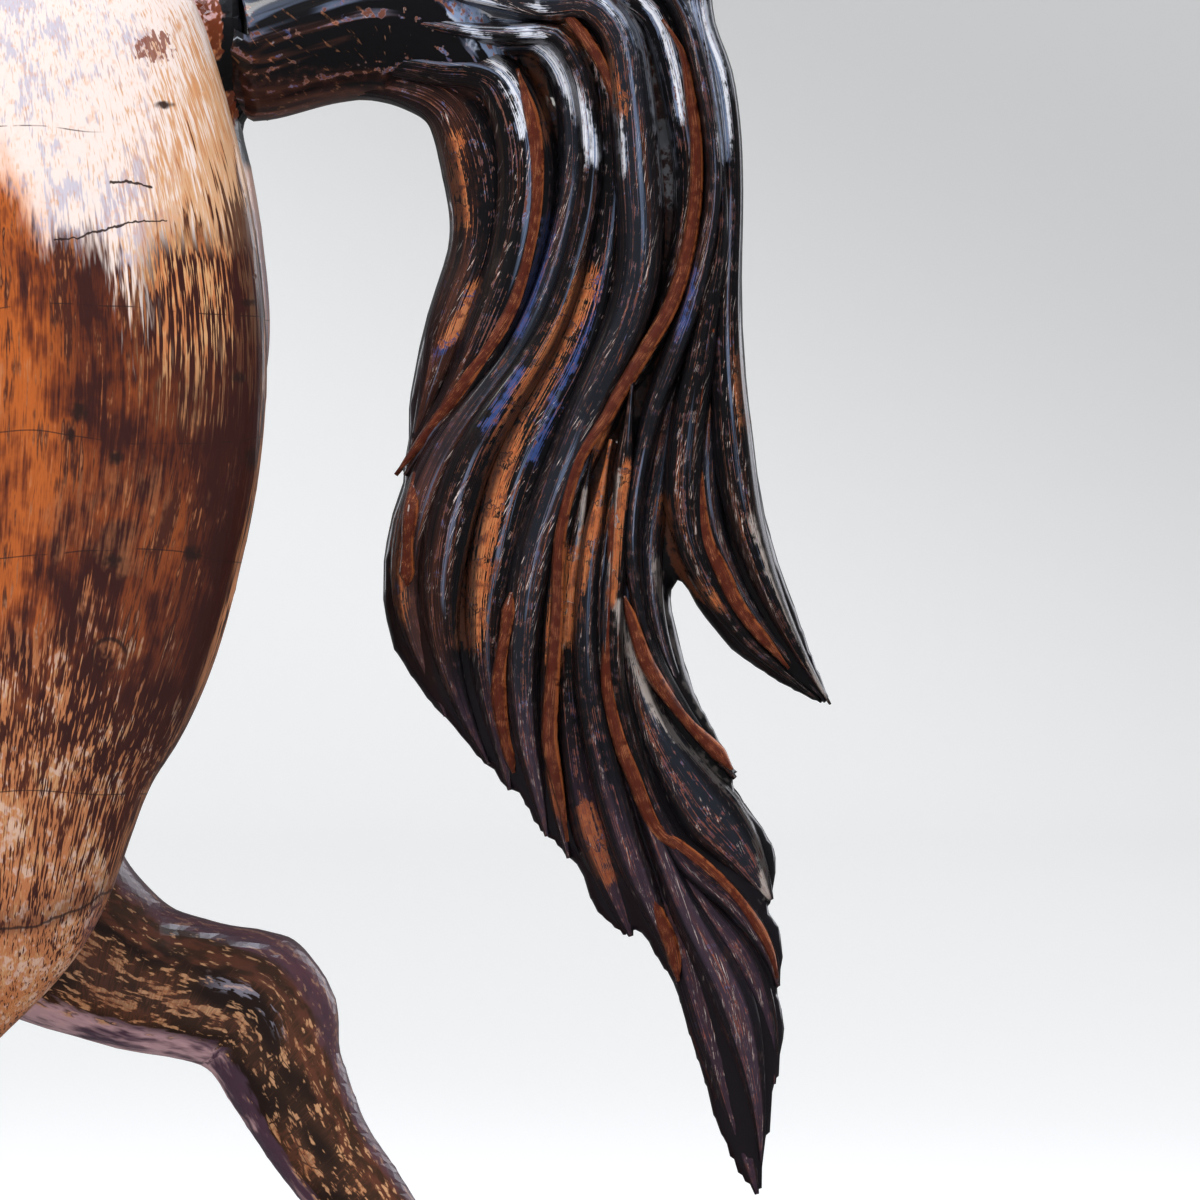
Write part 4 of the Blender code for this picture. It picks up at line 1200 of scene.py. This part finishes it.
    # Knots, cracks and the round plug of the near haunch
    across, down = u * PIXELS, v * PIXELS
    pits = [(from_oval(across, down, *knot) + speckle.swing(2.2)).share(1.6, 0.0) for knot in KNOTS]
    uneven = down + speckle.swing(5)
    for start, stop, half_width in CRACKS:
        crack = from_line(across, uneven, start, stop)
        pits.append(crack.share(half_width**2, (0.4 * half_width) ** 2))
    pits = functools.reduce(Value.highest, pits) * near
    colour = made.blend(pits * 0.96, colour, colours.seam)
    top_knot = from_oval(across, down, *TOP_KNOT) + speckle.swing(5) + hairs.swing(4)
    colour = made.blend(top_knot.share(1.0, 0.6) * near * 0.88, colour, colours.knot)
    plug_middle, plug_radius = WOOD_PLUG
    plug_gap = from_oval(across, down, plug_middle, (1, 1)).root()
    plug_ring = abs(plug_gap - plug_radius).share(3, 1) * near
    arc = (down - plug_middle[1] + speckle.swing(30)).share(10, -10)
    colour = made.blend(plug_ring * (0.3 + arc * 0.5), colour, colours.seam)
    plug_face = plug_gap.share(plug_radius, plug_radius / 1.5) * near
    plug_face = plug_face * (speckle + mottle - 0.5).share(0.35, 0.7)
    colour = made.blend(plug_face * 0.3, colour, colours.copper)

    # Dark glaze on the legs, worn through to gold and cream along the grain, with painted reflection along
    # one edge and painted glints on the far hind leg
    grain = made.mark("grain", "Vector")
    side, glazed = made.mark("side"), made.mark("glazed")
    patches = made.noise(grain, (3.2, 10, 10), 2)
    flecks = made.noise(grain, (7.5, 24, 24), 2)
    flow = made.noise(grain, (0.8, 2.4, 2.4), 1)
    leg = made.blend(flow.share(0.40, 0.62), colours.glaze, colours.umber)
    tendon = (side + patches.swing(0.5)).share(0.30, 0.52)
    leg = made.blend(tendon * 0.75, leg, made.blend(patches.share(0.4, 0.6), colours.umber, colours.russet))
    leg = made.blend(tendon * flecks.share(0.60, 0.68) * 0.6, leg, colours.gold)
    shin = side.share(0.2, -0.1) * flow.share(0.45, 0.6)
    bare = patches.swing(2.8) + flecks.swing(3.4) + flow.swing(1.8)
    bare = (bare - tendon * 0.1 + shin * 0.1 + (made.v - 10.2) * 0.06).share(0.3, 0.66)
    crackle = made.node("TexVoronoi", {"feature": "DISTANCE_TO_EDGE"}, {"Vector": made.node(
        "Mapping", values={"Vector": grain, "Scale": (4.5, 11, 11)}), "Scale": 1.0})
    bare = bare * crackle.share(0.01, 0.07).highest(made.v.share(10.6, 10.2))
    bare_colour = made.blend((flecks * 0.6 + patches * 0.4).share(0.50, 0.62), colours.copper, colours.gold)
    leg = made.blend(bare * 0.85, leg, bare_colour)
    leg = made.blend((flow + strokes.swing(0.8)).share(0.52, 0.7) * 0.5, leg, colours.russet)
    # Painted reflection: plum and lilac along one edge of each leg
    cool = (side + patches.swing(0.4) + flow.swing(0.3)).share(-0.60, -0.70)
    edge_reflection_colour = (flow * 0.5 + patches * 0.5 - made.u.share(1.6, 2.8) * 0.12).share(0.36, 0.52)
    edge_reflection_colour = made.blend(edge_reflection_colour, colours.plum, colours.lilac)
    leg = made.blend(cool * (0.35 + made.u.share(-1.0, 0.0) * made.w.share(0.0, 0.2) * 0.5), leg, edge_reflection_colour)
    back = (side + patches.swing(0.3)).share(0.72, 0.86)
    leg = made.blend(back * 0.6, leg, colours.plum)
    # Painted highlight: grey-blue glints on the facets between the tendon and the gaskin of the far hind leg
    facet_glint = abs(side - 0.22 + flow.swing(0.3)).share(0.16, 0.08)
    facet_glint = facet_glint * (patches + (flecks - 0.5)).share(0.48, 0.56)
    facet_glint = facet_glint * made.u.share(1.9, 2.3) * made.v.share(10.5, 10.2)
    leg = made.blend(facet_glint * 0.45, leg, colours.smudge_and_sheen)
    legs = (glazed + strokes.swing(0.8)).share(0.35, 0.6)
    colour = made.blend(legs, colour, leg)

    # The stub's painted end, its worn wood, and dark hooves
    stub = abs(made.w).share(0.99, 0.9) * made.u.share(1.75, 1.9) * made.v.share(1.75, 1.6)
    stub_colour = made.blend((mottle + (speckle - 0.5)).share(0.45, 0.7), colours.rust, colours.copper)
    chips = (speckle * 0.6 + mottle * 0.4).share(0.52, 0.56) * made.v.share(0.5, 0.1)
    stub_colour = made.blend(chips * 0.8, stub_colour, colours.lilac)
    painted = made.u + mottle.swing(0.8) + speckle.swing(0.1) - made.v.share(0.9, 1.2) * 0.12
    stub_colour = made.blend(painted.share(2.24, 2.28), stub_colour, colours.black)
    colour = made.blend(stub, colour, stub_colour)
    colour = made.blend(made.v.share(15.85, 16.0) * 0.9, colour, colours.glaze)

    made.plug_in("Base Color", colour)
    made.plug_in("Roughness", 0.3 + speckle * 0.2 + (1 - pale) * 0.05)
    made.relief(strokes * 0.14)
    return made.material


def tail_finish(colours):
    """Black paint over chisel-cut locks, worn to red wood on the cords and to orange where it is marked, with
    painted highlights on the crests and painted shade in the grooves.
    """
    made = Finish("painted_tail", roughness=0.32, coat=0.6, coat_roughness=0.08)
    across, along, tone = made.mark("across"), made.mark("along"), made.mark("tone")
    cord = made.mark("cord").share(0.4, 0.6)
    lane = made.join(across * 1.4 + tone * 37, along * 0.1, made.w * 2)
    chisel = made.noise(lane, (5.5, 0.35, 1.2), 2)
    threads = made.noise(lane, (17, 0.9, 3), 2)
    slanted = made.join(across * 1.4 + along * 0.12 + tone * 37, along * 0.1, made.w * 2)
    flecks = made.noise(slanted, (22, 3.2, 8), 2)
    broad = made.noise(lane, (1.4, 0.5, 0.8), 1)
    chips = made.noise(made.drawing, (10, 10, 10), 3)

    # Black with brown and slate bands, and the worn brown of the inner curve
    band = (tone * 7.3 + broad * 0.6).sine()
    colour = made.blend(band.share(0.2, 0.9) * 0.8, colours.black, colours.slate)
    colour = made.blend((broad + threads.swing(1.2)).share(0.56, 0.72) * 0.9, colour, colours.brown)
    inner = (made.u + chips.swing(0.7)).share(4.85, 4.45) * made.v.share(0.7, 1.2) * made.v.share(5.0, 3.6)
    under = (made.v + chips.swing(0.8)).share(0.7, 1.05) * made.u.share(4.6, 4.2)
    colour = made.blend(inner.highest(under) * (threads * 1.6 - 0.45).highest(0.0), colour, colours.russet)
    purple = (made.v + broad.swing(2) - made.u * 0.9).share(1.6, 3.2) * made.v.share(6.2, 7.2)
    colour = made.blend(purple * 0.36, colour, colours.plum)
    worn = threads.share(0.58, 0.66) * (chips + (broad - 0.5)).share(0.5, 0.62)
    colour = made.blend(worn * 0.7, colour, colours.amber)
    flecked = flecks.share(0.62, 0.67) * (chips + broad.swing(1.4)).share(0.5, 0.62)
    flecks_colour = made.blend(made.u.share(3.7, 4.4), colours.tan, colours.cream)
    colour = made.blend(flecked * (0.15 + made.u.share(3.7, 4.4) * 0.7), colour, flecks_colour)
    # Painted highlight: thin blue-grey lines along the crests of the locks, fading lower down
    gleam = abs(across - 0.1 + threads.swing(0.6)).share(0.10, 0.02) * broad.share(0.44, 0.56) * (1 - cord)
    colour = made.blend(gleam * made.v.share(8.5, 5.0) * 0.5, colour, colours.crest_highlight)

    # Painted highlights along the crests over the arch and lower down, blue strips, and bare orange wood
    # where the black is worn
    rough = threads.swing(2.4) + chips.swing(1.6)
    # Painted highlight: white and blue-grey over the arch, grey lower down
    pale = (made.mark("pale") * 1.5 + rough * 1.8 + (flecks - 0.5)).share(0.5, 1.1)
    pale_colour = made.blend(chisel.share(0.35, 0.6), colours.crest_highlight, colours.white_highlight)
    pale_colour = made.blend(made.v.share(2.5, 4.5), pale_colour, colours.grey_highlight)
    colour = made.blend(pale * 0.9, colour, pale_colour)
    blue = (made.mark("blue") + rough * 1.7).share(0.5, 0.85)
    colour = made.blend(blue * 0.8, colour, colours.blue)
    bare = (made.mark("bare") * 1.1 + rough * 1.7 + flecks.swing(1.2)).share(0.45, 0.8)
    bare_colour = made.blend((chisel + chips.swing(1.2)).share(0.36, 0.58), colours.copper, colours.amber)
    nicks = (threads * 0.5 + chips * 0.5).share(0.53, 0.6)
    bare_colour = made.blend(nicks * 0.75, bare_colour, colours.brown)
    bare_colour = made.blend(made.v.share(6.8, 7.6) * 0.65, bare_colour, colours.knot)
    cross_cuts = (along * 1.3 + chips.swing(9)).sine().share(0.93, 0.99)
    colour = made.blend(bare * (1 - cross_cuts * 0.8) * 0.95, colour, bare_colour)
    # Painted shade: black down the grooves at the sides of each lock, over the wear and highlights
    groove_shade = abs(across + threads.swing(0.3)).share(0.40, 0.62) * (1 - cord)
    colour = made.blend(groove_shade * 0.85, colour, colours.black)

    # Red-brown cords, orange along one side as painted light and brown along the other as painted shade, with
    # tan flecks
    red = made.blend((threads + chips.swing(1.2)).share(0.5, 0.7) * 0.55, colours.red, colours.knot)
    edge = (across + threads.swing(1.2)).share(0.55, 0.75) * chips.share(0.36, 0.5)
    red = made.blend(edge * 0.75, red, colours.amber)
    red = made.blend((across - threads.swing(0.8)).share(-0.5, -0.9) * 0.7, red, colours.brown)
    red = made.blend(flecks.share(0.61, 0.66) * chips.share(0.4, 0.55) * 0.8, red, colours.tan)
    colour = made.blend(cord, colour, red)

    made.plug_in("Base Color", colour)
    made.plug_in("Roughness", 0.2 + broad * 0.25 + bare * 0.25)
    made.relief(threads * 0.4)
    return made.material


def base_finish(colours):
    """Dark stained planks with a satin wax."""
    made = Finish("waxed_base", roughness=0.42, coat=0.15, coat_roughness=0.25)
    x, y, z = made.split(made.place)
    laid = made.join(x, y, z)
    rings = made.noise(laid, (5, 60, 60), 4, distortion=0.4)
    pores = made.noise(laid, (60, 900, 900), 2)
    clouds = made.noise(laid, (4, 9, 9), 3)
    colour = made.blend(rings.share(0.35, 0.65), colours.base_dark, colours.base_light)
    colour = made.blend(clouds.share(0.4, 0.7) * 0.35, colour, colours.mahogany)
    colour = made.blend(pores.share(0.58, 0.7) * 0.5, colour, colours.glaze)
    joint = abs(abs(y) - (BASE_HIGH.y / 3)).share(0.0008, 0.0003)
    colour = made.blend(joint * 0.8, colour, colours.glaze)
    made.plug_in("Base Color", colour)
    made.plug_in("Roughness", 0.35 + rings * 0.2)
    made.relief(rings * 0.25 - pores.share(0.58, 0.7) * 0.12 - joint * 0.5)
    return made.material


def dress(obj, material, slot, *nodes):
    """Finishes a piece: its material, what it stands for, and the body that it rides on."""
    obj.data.materials.clear()
    obj.data.materials.append(material)
    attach(obj, "root")
    if nodes:
        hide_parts(*nodes)


def make_backdrop(colour):
    """A pale floor that curves up into a wall all round."""
    bm = bmesh.new()
    profile = [(0.0, 0.0), (FLOOR_RADIUS, 0.0)]
    for step in range(1, 13):
        angle = step / 12 * math.pi / 2
        out, up = BACKDROP_CURVE * math.sin(angle), BACKDROP_CURVE * (1 - math.cos(angle))
        profile.append((FLOOR_RADIUS + out, up))
    profile.append((FLOOR_RADIUS + BACKDROP_CURVE, BACKDROP_HEIGHT))
    verts = [bm.verts.new((x, 0, z)) for x, z in profile]
    edges = [bm.edges.new(pair) for pair in zip(verts, verts[1:])]
    bmesh.ops.spin(
        bm, geom=verts + edges, cent=(0, 0, 0), axis=(0, 0, 1), angle=2 * math.pi, steps=BACKDROP_SIDES,
        use_merge=True,
    )
    bmesh.ops.remove_doubles(bm, verts=bm.verts, dist=1e-5)
    bmesh.ops.recalc_face_normals(bm, faces=bm.faces)
    floor = new_object("floor", bm)
    made = Finish("pale_floor", roughness=0.9)
    x, y, z = made.split(made.place)
    dim = (z + x * 0.5).share(0.3, 2.6)
    shade = made.blend(dim, tuple(colour), tuple(BACKDROP_SHADE * part for part in colour))
    made.plug_in("Base Color", shade)
    made.plug_in("Emission Color", shade)
    made.shader.inputs["Emission Strength"].default_value = BACKDROP_GLOW
    made.material.cycles.emission_sampling = "NONE"
    floor.data.materials.append(made.material)
    floor.visible_glossy = False


def colour_property(name, description, default):
    return bpy.props.FloatVectorProperty(
        name=name, description=description, default=default, size=3, min=0, max=1, subtype="COLOR"
    )


class CarvingSettings(bpy.types.PropertyGroup):
    """How finely the wood is carved."""

    grain: bpy.props.FloatProperty(
        name="Carving grain", description="Smallest detail of the horse's surface", default=0.0042, min=0.002,
        max=0.02, unit="LENGTH",
    )
    flute_depth: bpy.props.FloatProperty(
        name="Flute depth", description="Depth of the chisel flutes, as a share of a lock's width",
        default=0.05, min=0, max=0.2,
    )


class PaintSettings(bpy.types.PropertyGroup):
    """Colours of the wood and its paint."""

    # Over the back it also stands for painted top light
    cream: colour_property("Cream", "Worn pale lacquer over the back", (0.65, 0.535, 0.485))
    tan: colour_property("Tan", "Bare orange wood", (0.58, 0.23, 0.09))
    orange: colour_property("Orange", "Bright lacquer on the flanks", (0.36, 0.082, 0.012))
    rust: colour_property("Rust", "Deep lacquer on the flanks", (0.13, 0.025, 0.006))
    red: colour_property("Red brown", "Cords of the mane and tail", (0.072, 0.012, 0.005))
    mahogany: colour_property("Mahogany", "Dark strokes on the flanks", (0.034, 0.008, 0.006))
    ochre: colour_property("Ochre", "Straw-coloured grain in the cream", (0.50, 0.26, 0.115))
    copper: colour_property("Copper", "Bare copper-coloured wood", (0.42, 0.145, 0.050))
    knot: colour_property("Knot", "Red of the knots and of the cords' wear", (0.17, 0.040, 0.017))
    # Also painted light along one side of the cords
    amber: colour_property("Amber", "Bare orange wood on the tail", (0.36, 0.095, 0.026))
    gold: colour_property("Gold", "Bare wood on the glazed legs", (0.52, 0.27, 0.13))
    russet: colour_property("Russet", "Tendons and worn dark wood", (0.12, 0.036, 0.018))
    umber: colour_property("Umber", "Brown of the leg glaze", (0.050, 0.021, 0.010))
    plum: colour_property("Plum", "Purple glaze at edges and joints", (0.075, 0.038, 0.062))
    # Also painted shade along one side of the cords
    brown: colour_property("Brown", "Brown showing through the black", (0.034, 0.012, 0.007))
    glaze: colour_property("Glaze", "Dark glaze on the legs", (0.018, 0.008, 0.005))
    black: colour_property("Black", "Paint of the mane and tail", (0.0035, 0.0032, 0.004))
    slate: colour_property("Slate", "Grey bands in the black", (0.013, 0.015, 0.021))
    # Painted highlight on the crests of the locks, blue-grey
    crest_highlight: colour_property("Sheen", "Blue-grey worn crests of the locks", (0.16, 0.21, 0.32))
    # Painted highlight on the crests lower down the tail, grey
    grey_highlight: colour_property("Ash", "Grey-tan worn strips of the tail", (0.33, 0.28, 0.25))
    # Painted highlight on the crests over the arch, white
    white_highlight: colour_property("Frost", "White worn crests of the locks", (0.68, 0.68, 0.72))
    blue: colour_property("Blue", "Blue strips beside the locks", (0.03, 0.06, 0.19))
    # Also painted reflection along one edge of the legs and on the side of the rump
    lilac: colour_property("Lilac", "Cool edges of the legs", (0.50, 0.31, 0.33))
    # Also painted reflection on the side of the rump and painted glints on the far hind leg
    smudge_and_sheen: colour_property("Smudge", "Grey-blue smudges on the cream", (0.36, 0.34, 0.42))
    seam: colour_property("Seam", "Glue lines, knots and cracks", (0.020, 0.008, 0.006))
    base_dark: colour_property("Base dark", "Dark grain of the base", (0.035, 0.015, 0.008))
    base_light: colour_property("Base light", "Light grain of the base", (0.13, 0.055, 0.024))


class StageSettings(bpy.types.PropertyGroup):
    """Floor, light and camera."""

    backdrop: colour_property("Backdrop", "Floor and backdrop", (0.87, 0.87, 0.868))
    camera_distance: bpy.props.FloatProperty(
        name="Camera distance", description="From the camera to the object's middle plane",
        default=CAMERA_DISTANCE, min=1, max=10, unit="LENGTH",
    )
    key_power: bpy.props.FloatProperty(
        name="Key light", description="Power of the large light at the front left", default=68, min=0,
        unit="POWER",
    )
    top_power: bpy.props.FloatProperty(
        name="Top light", description="Power of the light above", default=60, min=0, unit="POWER"
    )
    rear_power: bpy.props.FloatProperty(
        name="Rear lights", description="Power of the two lights behind the horse", default=34, min=0,
        unit="POWER",
    )
    sky: bpy.props.FloatProperty(
        name="Ambient", description="Strength of the white surroundings", default=0.8, min=0
    )
    mirrored_sky: bpy.props.FloatProperty(
        name="Mirrored ambient", description="Strength of the surroundings as the gloss shows them",
        default=0.1, min=0,
    )


class OBJECT_OT_carved_horse(bpy.types.Operator):
    """Carve the horse's body, legs and head as one piece"""

    bl_idname = "object.carved_horse"
    bl_label = "Carve horse"

    def execute(self, context):
        horse = carve_horse(context.scene.carving.grain)
        mark_legs(horse)
        dress(horse, horse_finish(context.scene.paint), "horse_wood", "horse")
        return {"FINISHED"}


class OBJECT_OT_carved_mane(bpy.types.Operator):
    """Carve the mane and forelock as fine locks"""

    bl_idname = "object.carved_mane"
    bl_label = "Carve mane"

    def execute(self, context):
        mane = carve_mane()
        for name, strokes in STROKES:
            put_mark(mane.data, name, np.zeros(len(mane.data.vertices)))
        dress(mane, tail_finish(context.scene.paint), "tail_paint")
        return {"FINISHED"}


class OBJECT_OT_carved_tail(bpy.types.Operator):
    """Carve the tail's locks and cords"""

    bl_idname = "object.carved_tail"
    bl_label = "Carve tail"

    def execute(self, context):
        tail = carve_tail(context.scene.carving.flute_depth)
        dress(tail, tail_finish(context.scene.paint), "tail_paint", "tail")
        return {"FINISHED"}


class OBJECT_OT_carved_base(bpy.types.Operator):
    """Give the low base, with its hollow moulding, its waxed finish"""

    bl_idname = "object.carved_base"
    bl_label = "Make base"

    def execute(self, context):
        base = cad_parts["base"]
        base.data.materials.clear()
        base.data.materials.append(base_finish(context.scene.paint))
        return {"FINISHED"}


class OBJECT_OT_carved_stage(bpy.types.Operator):
    """Set up the pale floor and backdrop, the soft light and the camera"""

    bl_idname = "object.carved_stage"
    bl_label = "Set stage"

    def execute(self, context):
        settings = context.scene.stage
        make_backdrop(settings.backdrop)
        middle = Vector((PICTURE_MIDDLE_X, 0, PICTURE_MIDDLE_Z))
        for name, place, size, power, colour in (
            ("key", (-1.5, -2.5, 2.6), (1.5, 1.1), settings.key_power, (1.0, 0.97, 0.93)),
            ("top", (0.7, -0.9, 2.9), (2.0, 0.9), settings.top_power, (0.80, 0.88, 1.0)),
            ("rear", (2.6, 2.2, 1.6), (1.6, 2.4), settings.rear_power, (0.92, 0.93, 1.0)),
            ("rear_left", (-2.4, 2.4, 1.6), (1.6, 2.4), settings.rear_power, (0.92, 0.93, 1.0)),
        ):
            light = bpy.data.objects.new(name + "_light", bpy.data.lights.new(name + "_light", "AREA"))
            light.data.shape = "RECTANGLE"
            light.data.size, light.data.size_y = size
            light.data.energy = power
            light.data.color = colour
            light.location = place
            light.visible_camera = False
            light.rotation_euler = (middle - Vector(place)).to_track_quat("-Z", "Y").to_euler()
            context.scene.collection.objects.link(light)
        world = bpy.data.worlds.new("surroundings")
        world.use_nodes = True
        background = world.node_tree.nodes["Background"]
        background.inputs["Color"].default_value = (0.95, 0.97, 1.0, 1)
        recipe = Recipe(world.node_tree)
        mirrored_rays = recipe.node("LightPath", out="Is Glossy Ray")
        strength = settings.sky - mirrored_rays * (settings.sky - settings.mirrored_sky)
        world.node_tree.links.new(strength.socket, background.inputs["Strength"])
        world.cycles.sampling_method = "NONE"  # the gloss then sees only the dimmed surroundings
        context.scene.world = world
        context.scene.view_settings.view_transform = "Standard"
        camera = bpy.data.objects.new("camera", bpy.data.cameras.new("camera"))
        camera.data.sensor_width = SENSOR_WIDTH * 1000
        camera.data.lens = SENSOR_WIDTH * 1000 * settings.camera_distance / PICTURE_WIDTH
        camera.location = middle - Vector((0, settings.camera_distance, 0))
        camera.rotation_euler = (math.pi / 2, 0, 0)
        context.scene.collection.objects.link(camera)
        context.scene.camera = camera
        return {"FINISHED"}


class VIEW3D_PT_carved_horse(bpy.types.Panel):
    """Sizes, colours and steps of the carved horse"""

    bl_label = "Carved horse"
    bl_space_type = "VIEW_3D"
    bl_region_type = "UI"
    bl_category = "Carved horse"

    def draw(self, context):
        layout = self.layout
        for group in (context.scene.carving, context.scene.paint, context.scene.stage):
            column = layout.column()
            for name in group.bl_rna.properties.keys():
                if name not in ("rna_type", "name"):
                    column.prop(group, name)
        for step in STEPS:
            layout.operator(step)


GROUPS = (("carving", CarvingSettings), ("paint", PaintSettings), ("stage", StageSettings))
OPERATORS = (
    OBJECT_OT_carved_horse, OBJECT_OT_carved_mane, OBJECT_OT_carved_tail, OBJECT_OT_carved_base,
    OBJECT_OT_carved_stage,
)
STEPS = tuple(operator.bl_idname for operator in OPERATORS)


def register():
    for name, group in GROUPS:
        bpy.utils.register_class(group)
        setattr(bpy.types.Scene, name, bpy.props.PointerProperty(type=group))
    for operator in OPERATORS:
        bpy.utils.register_class(operator)
    bpy.utils.register_class(VIEW3D_PT_carved_horse)


def unregister():
    bpy.utils.unregister_class(VIEW3D_PT_carved_horse)
    for operator in reversed(OPERATORS):
        bpy.utils.unregister_class(operator)
    for name, group in reversed(GROUPS):
        delattr(bpy.types.Scene, name)
        bpy.utils.unregister_class(group)


def main():
    register()
    bpy.ops.object.carved_horse()
    bpy.ops.object.carved_mane()
    bpy.ops.object.carved_tail()
    bpy.ops.object.carved_base()
    bpy.ops.object.carved_stage()


if __name__ == "__main__":
    main()
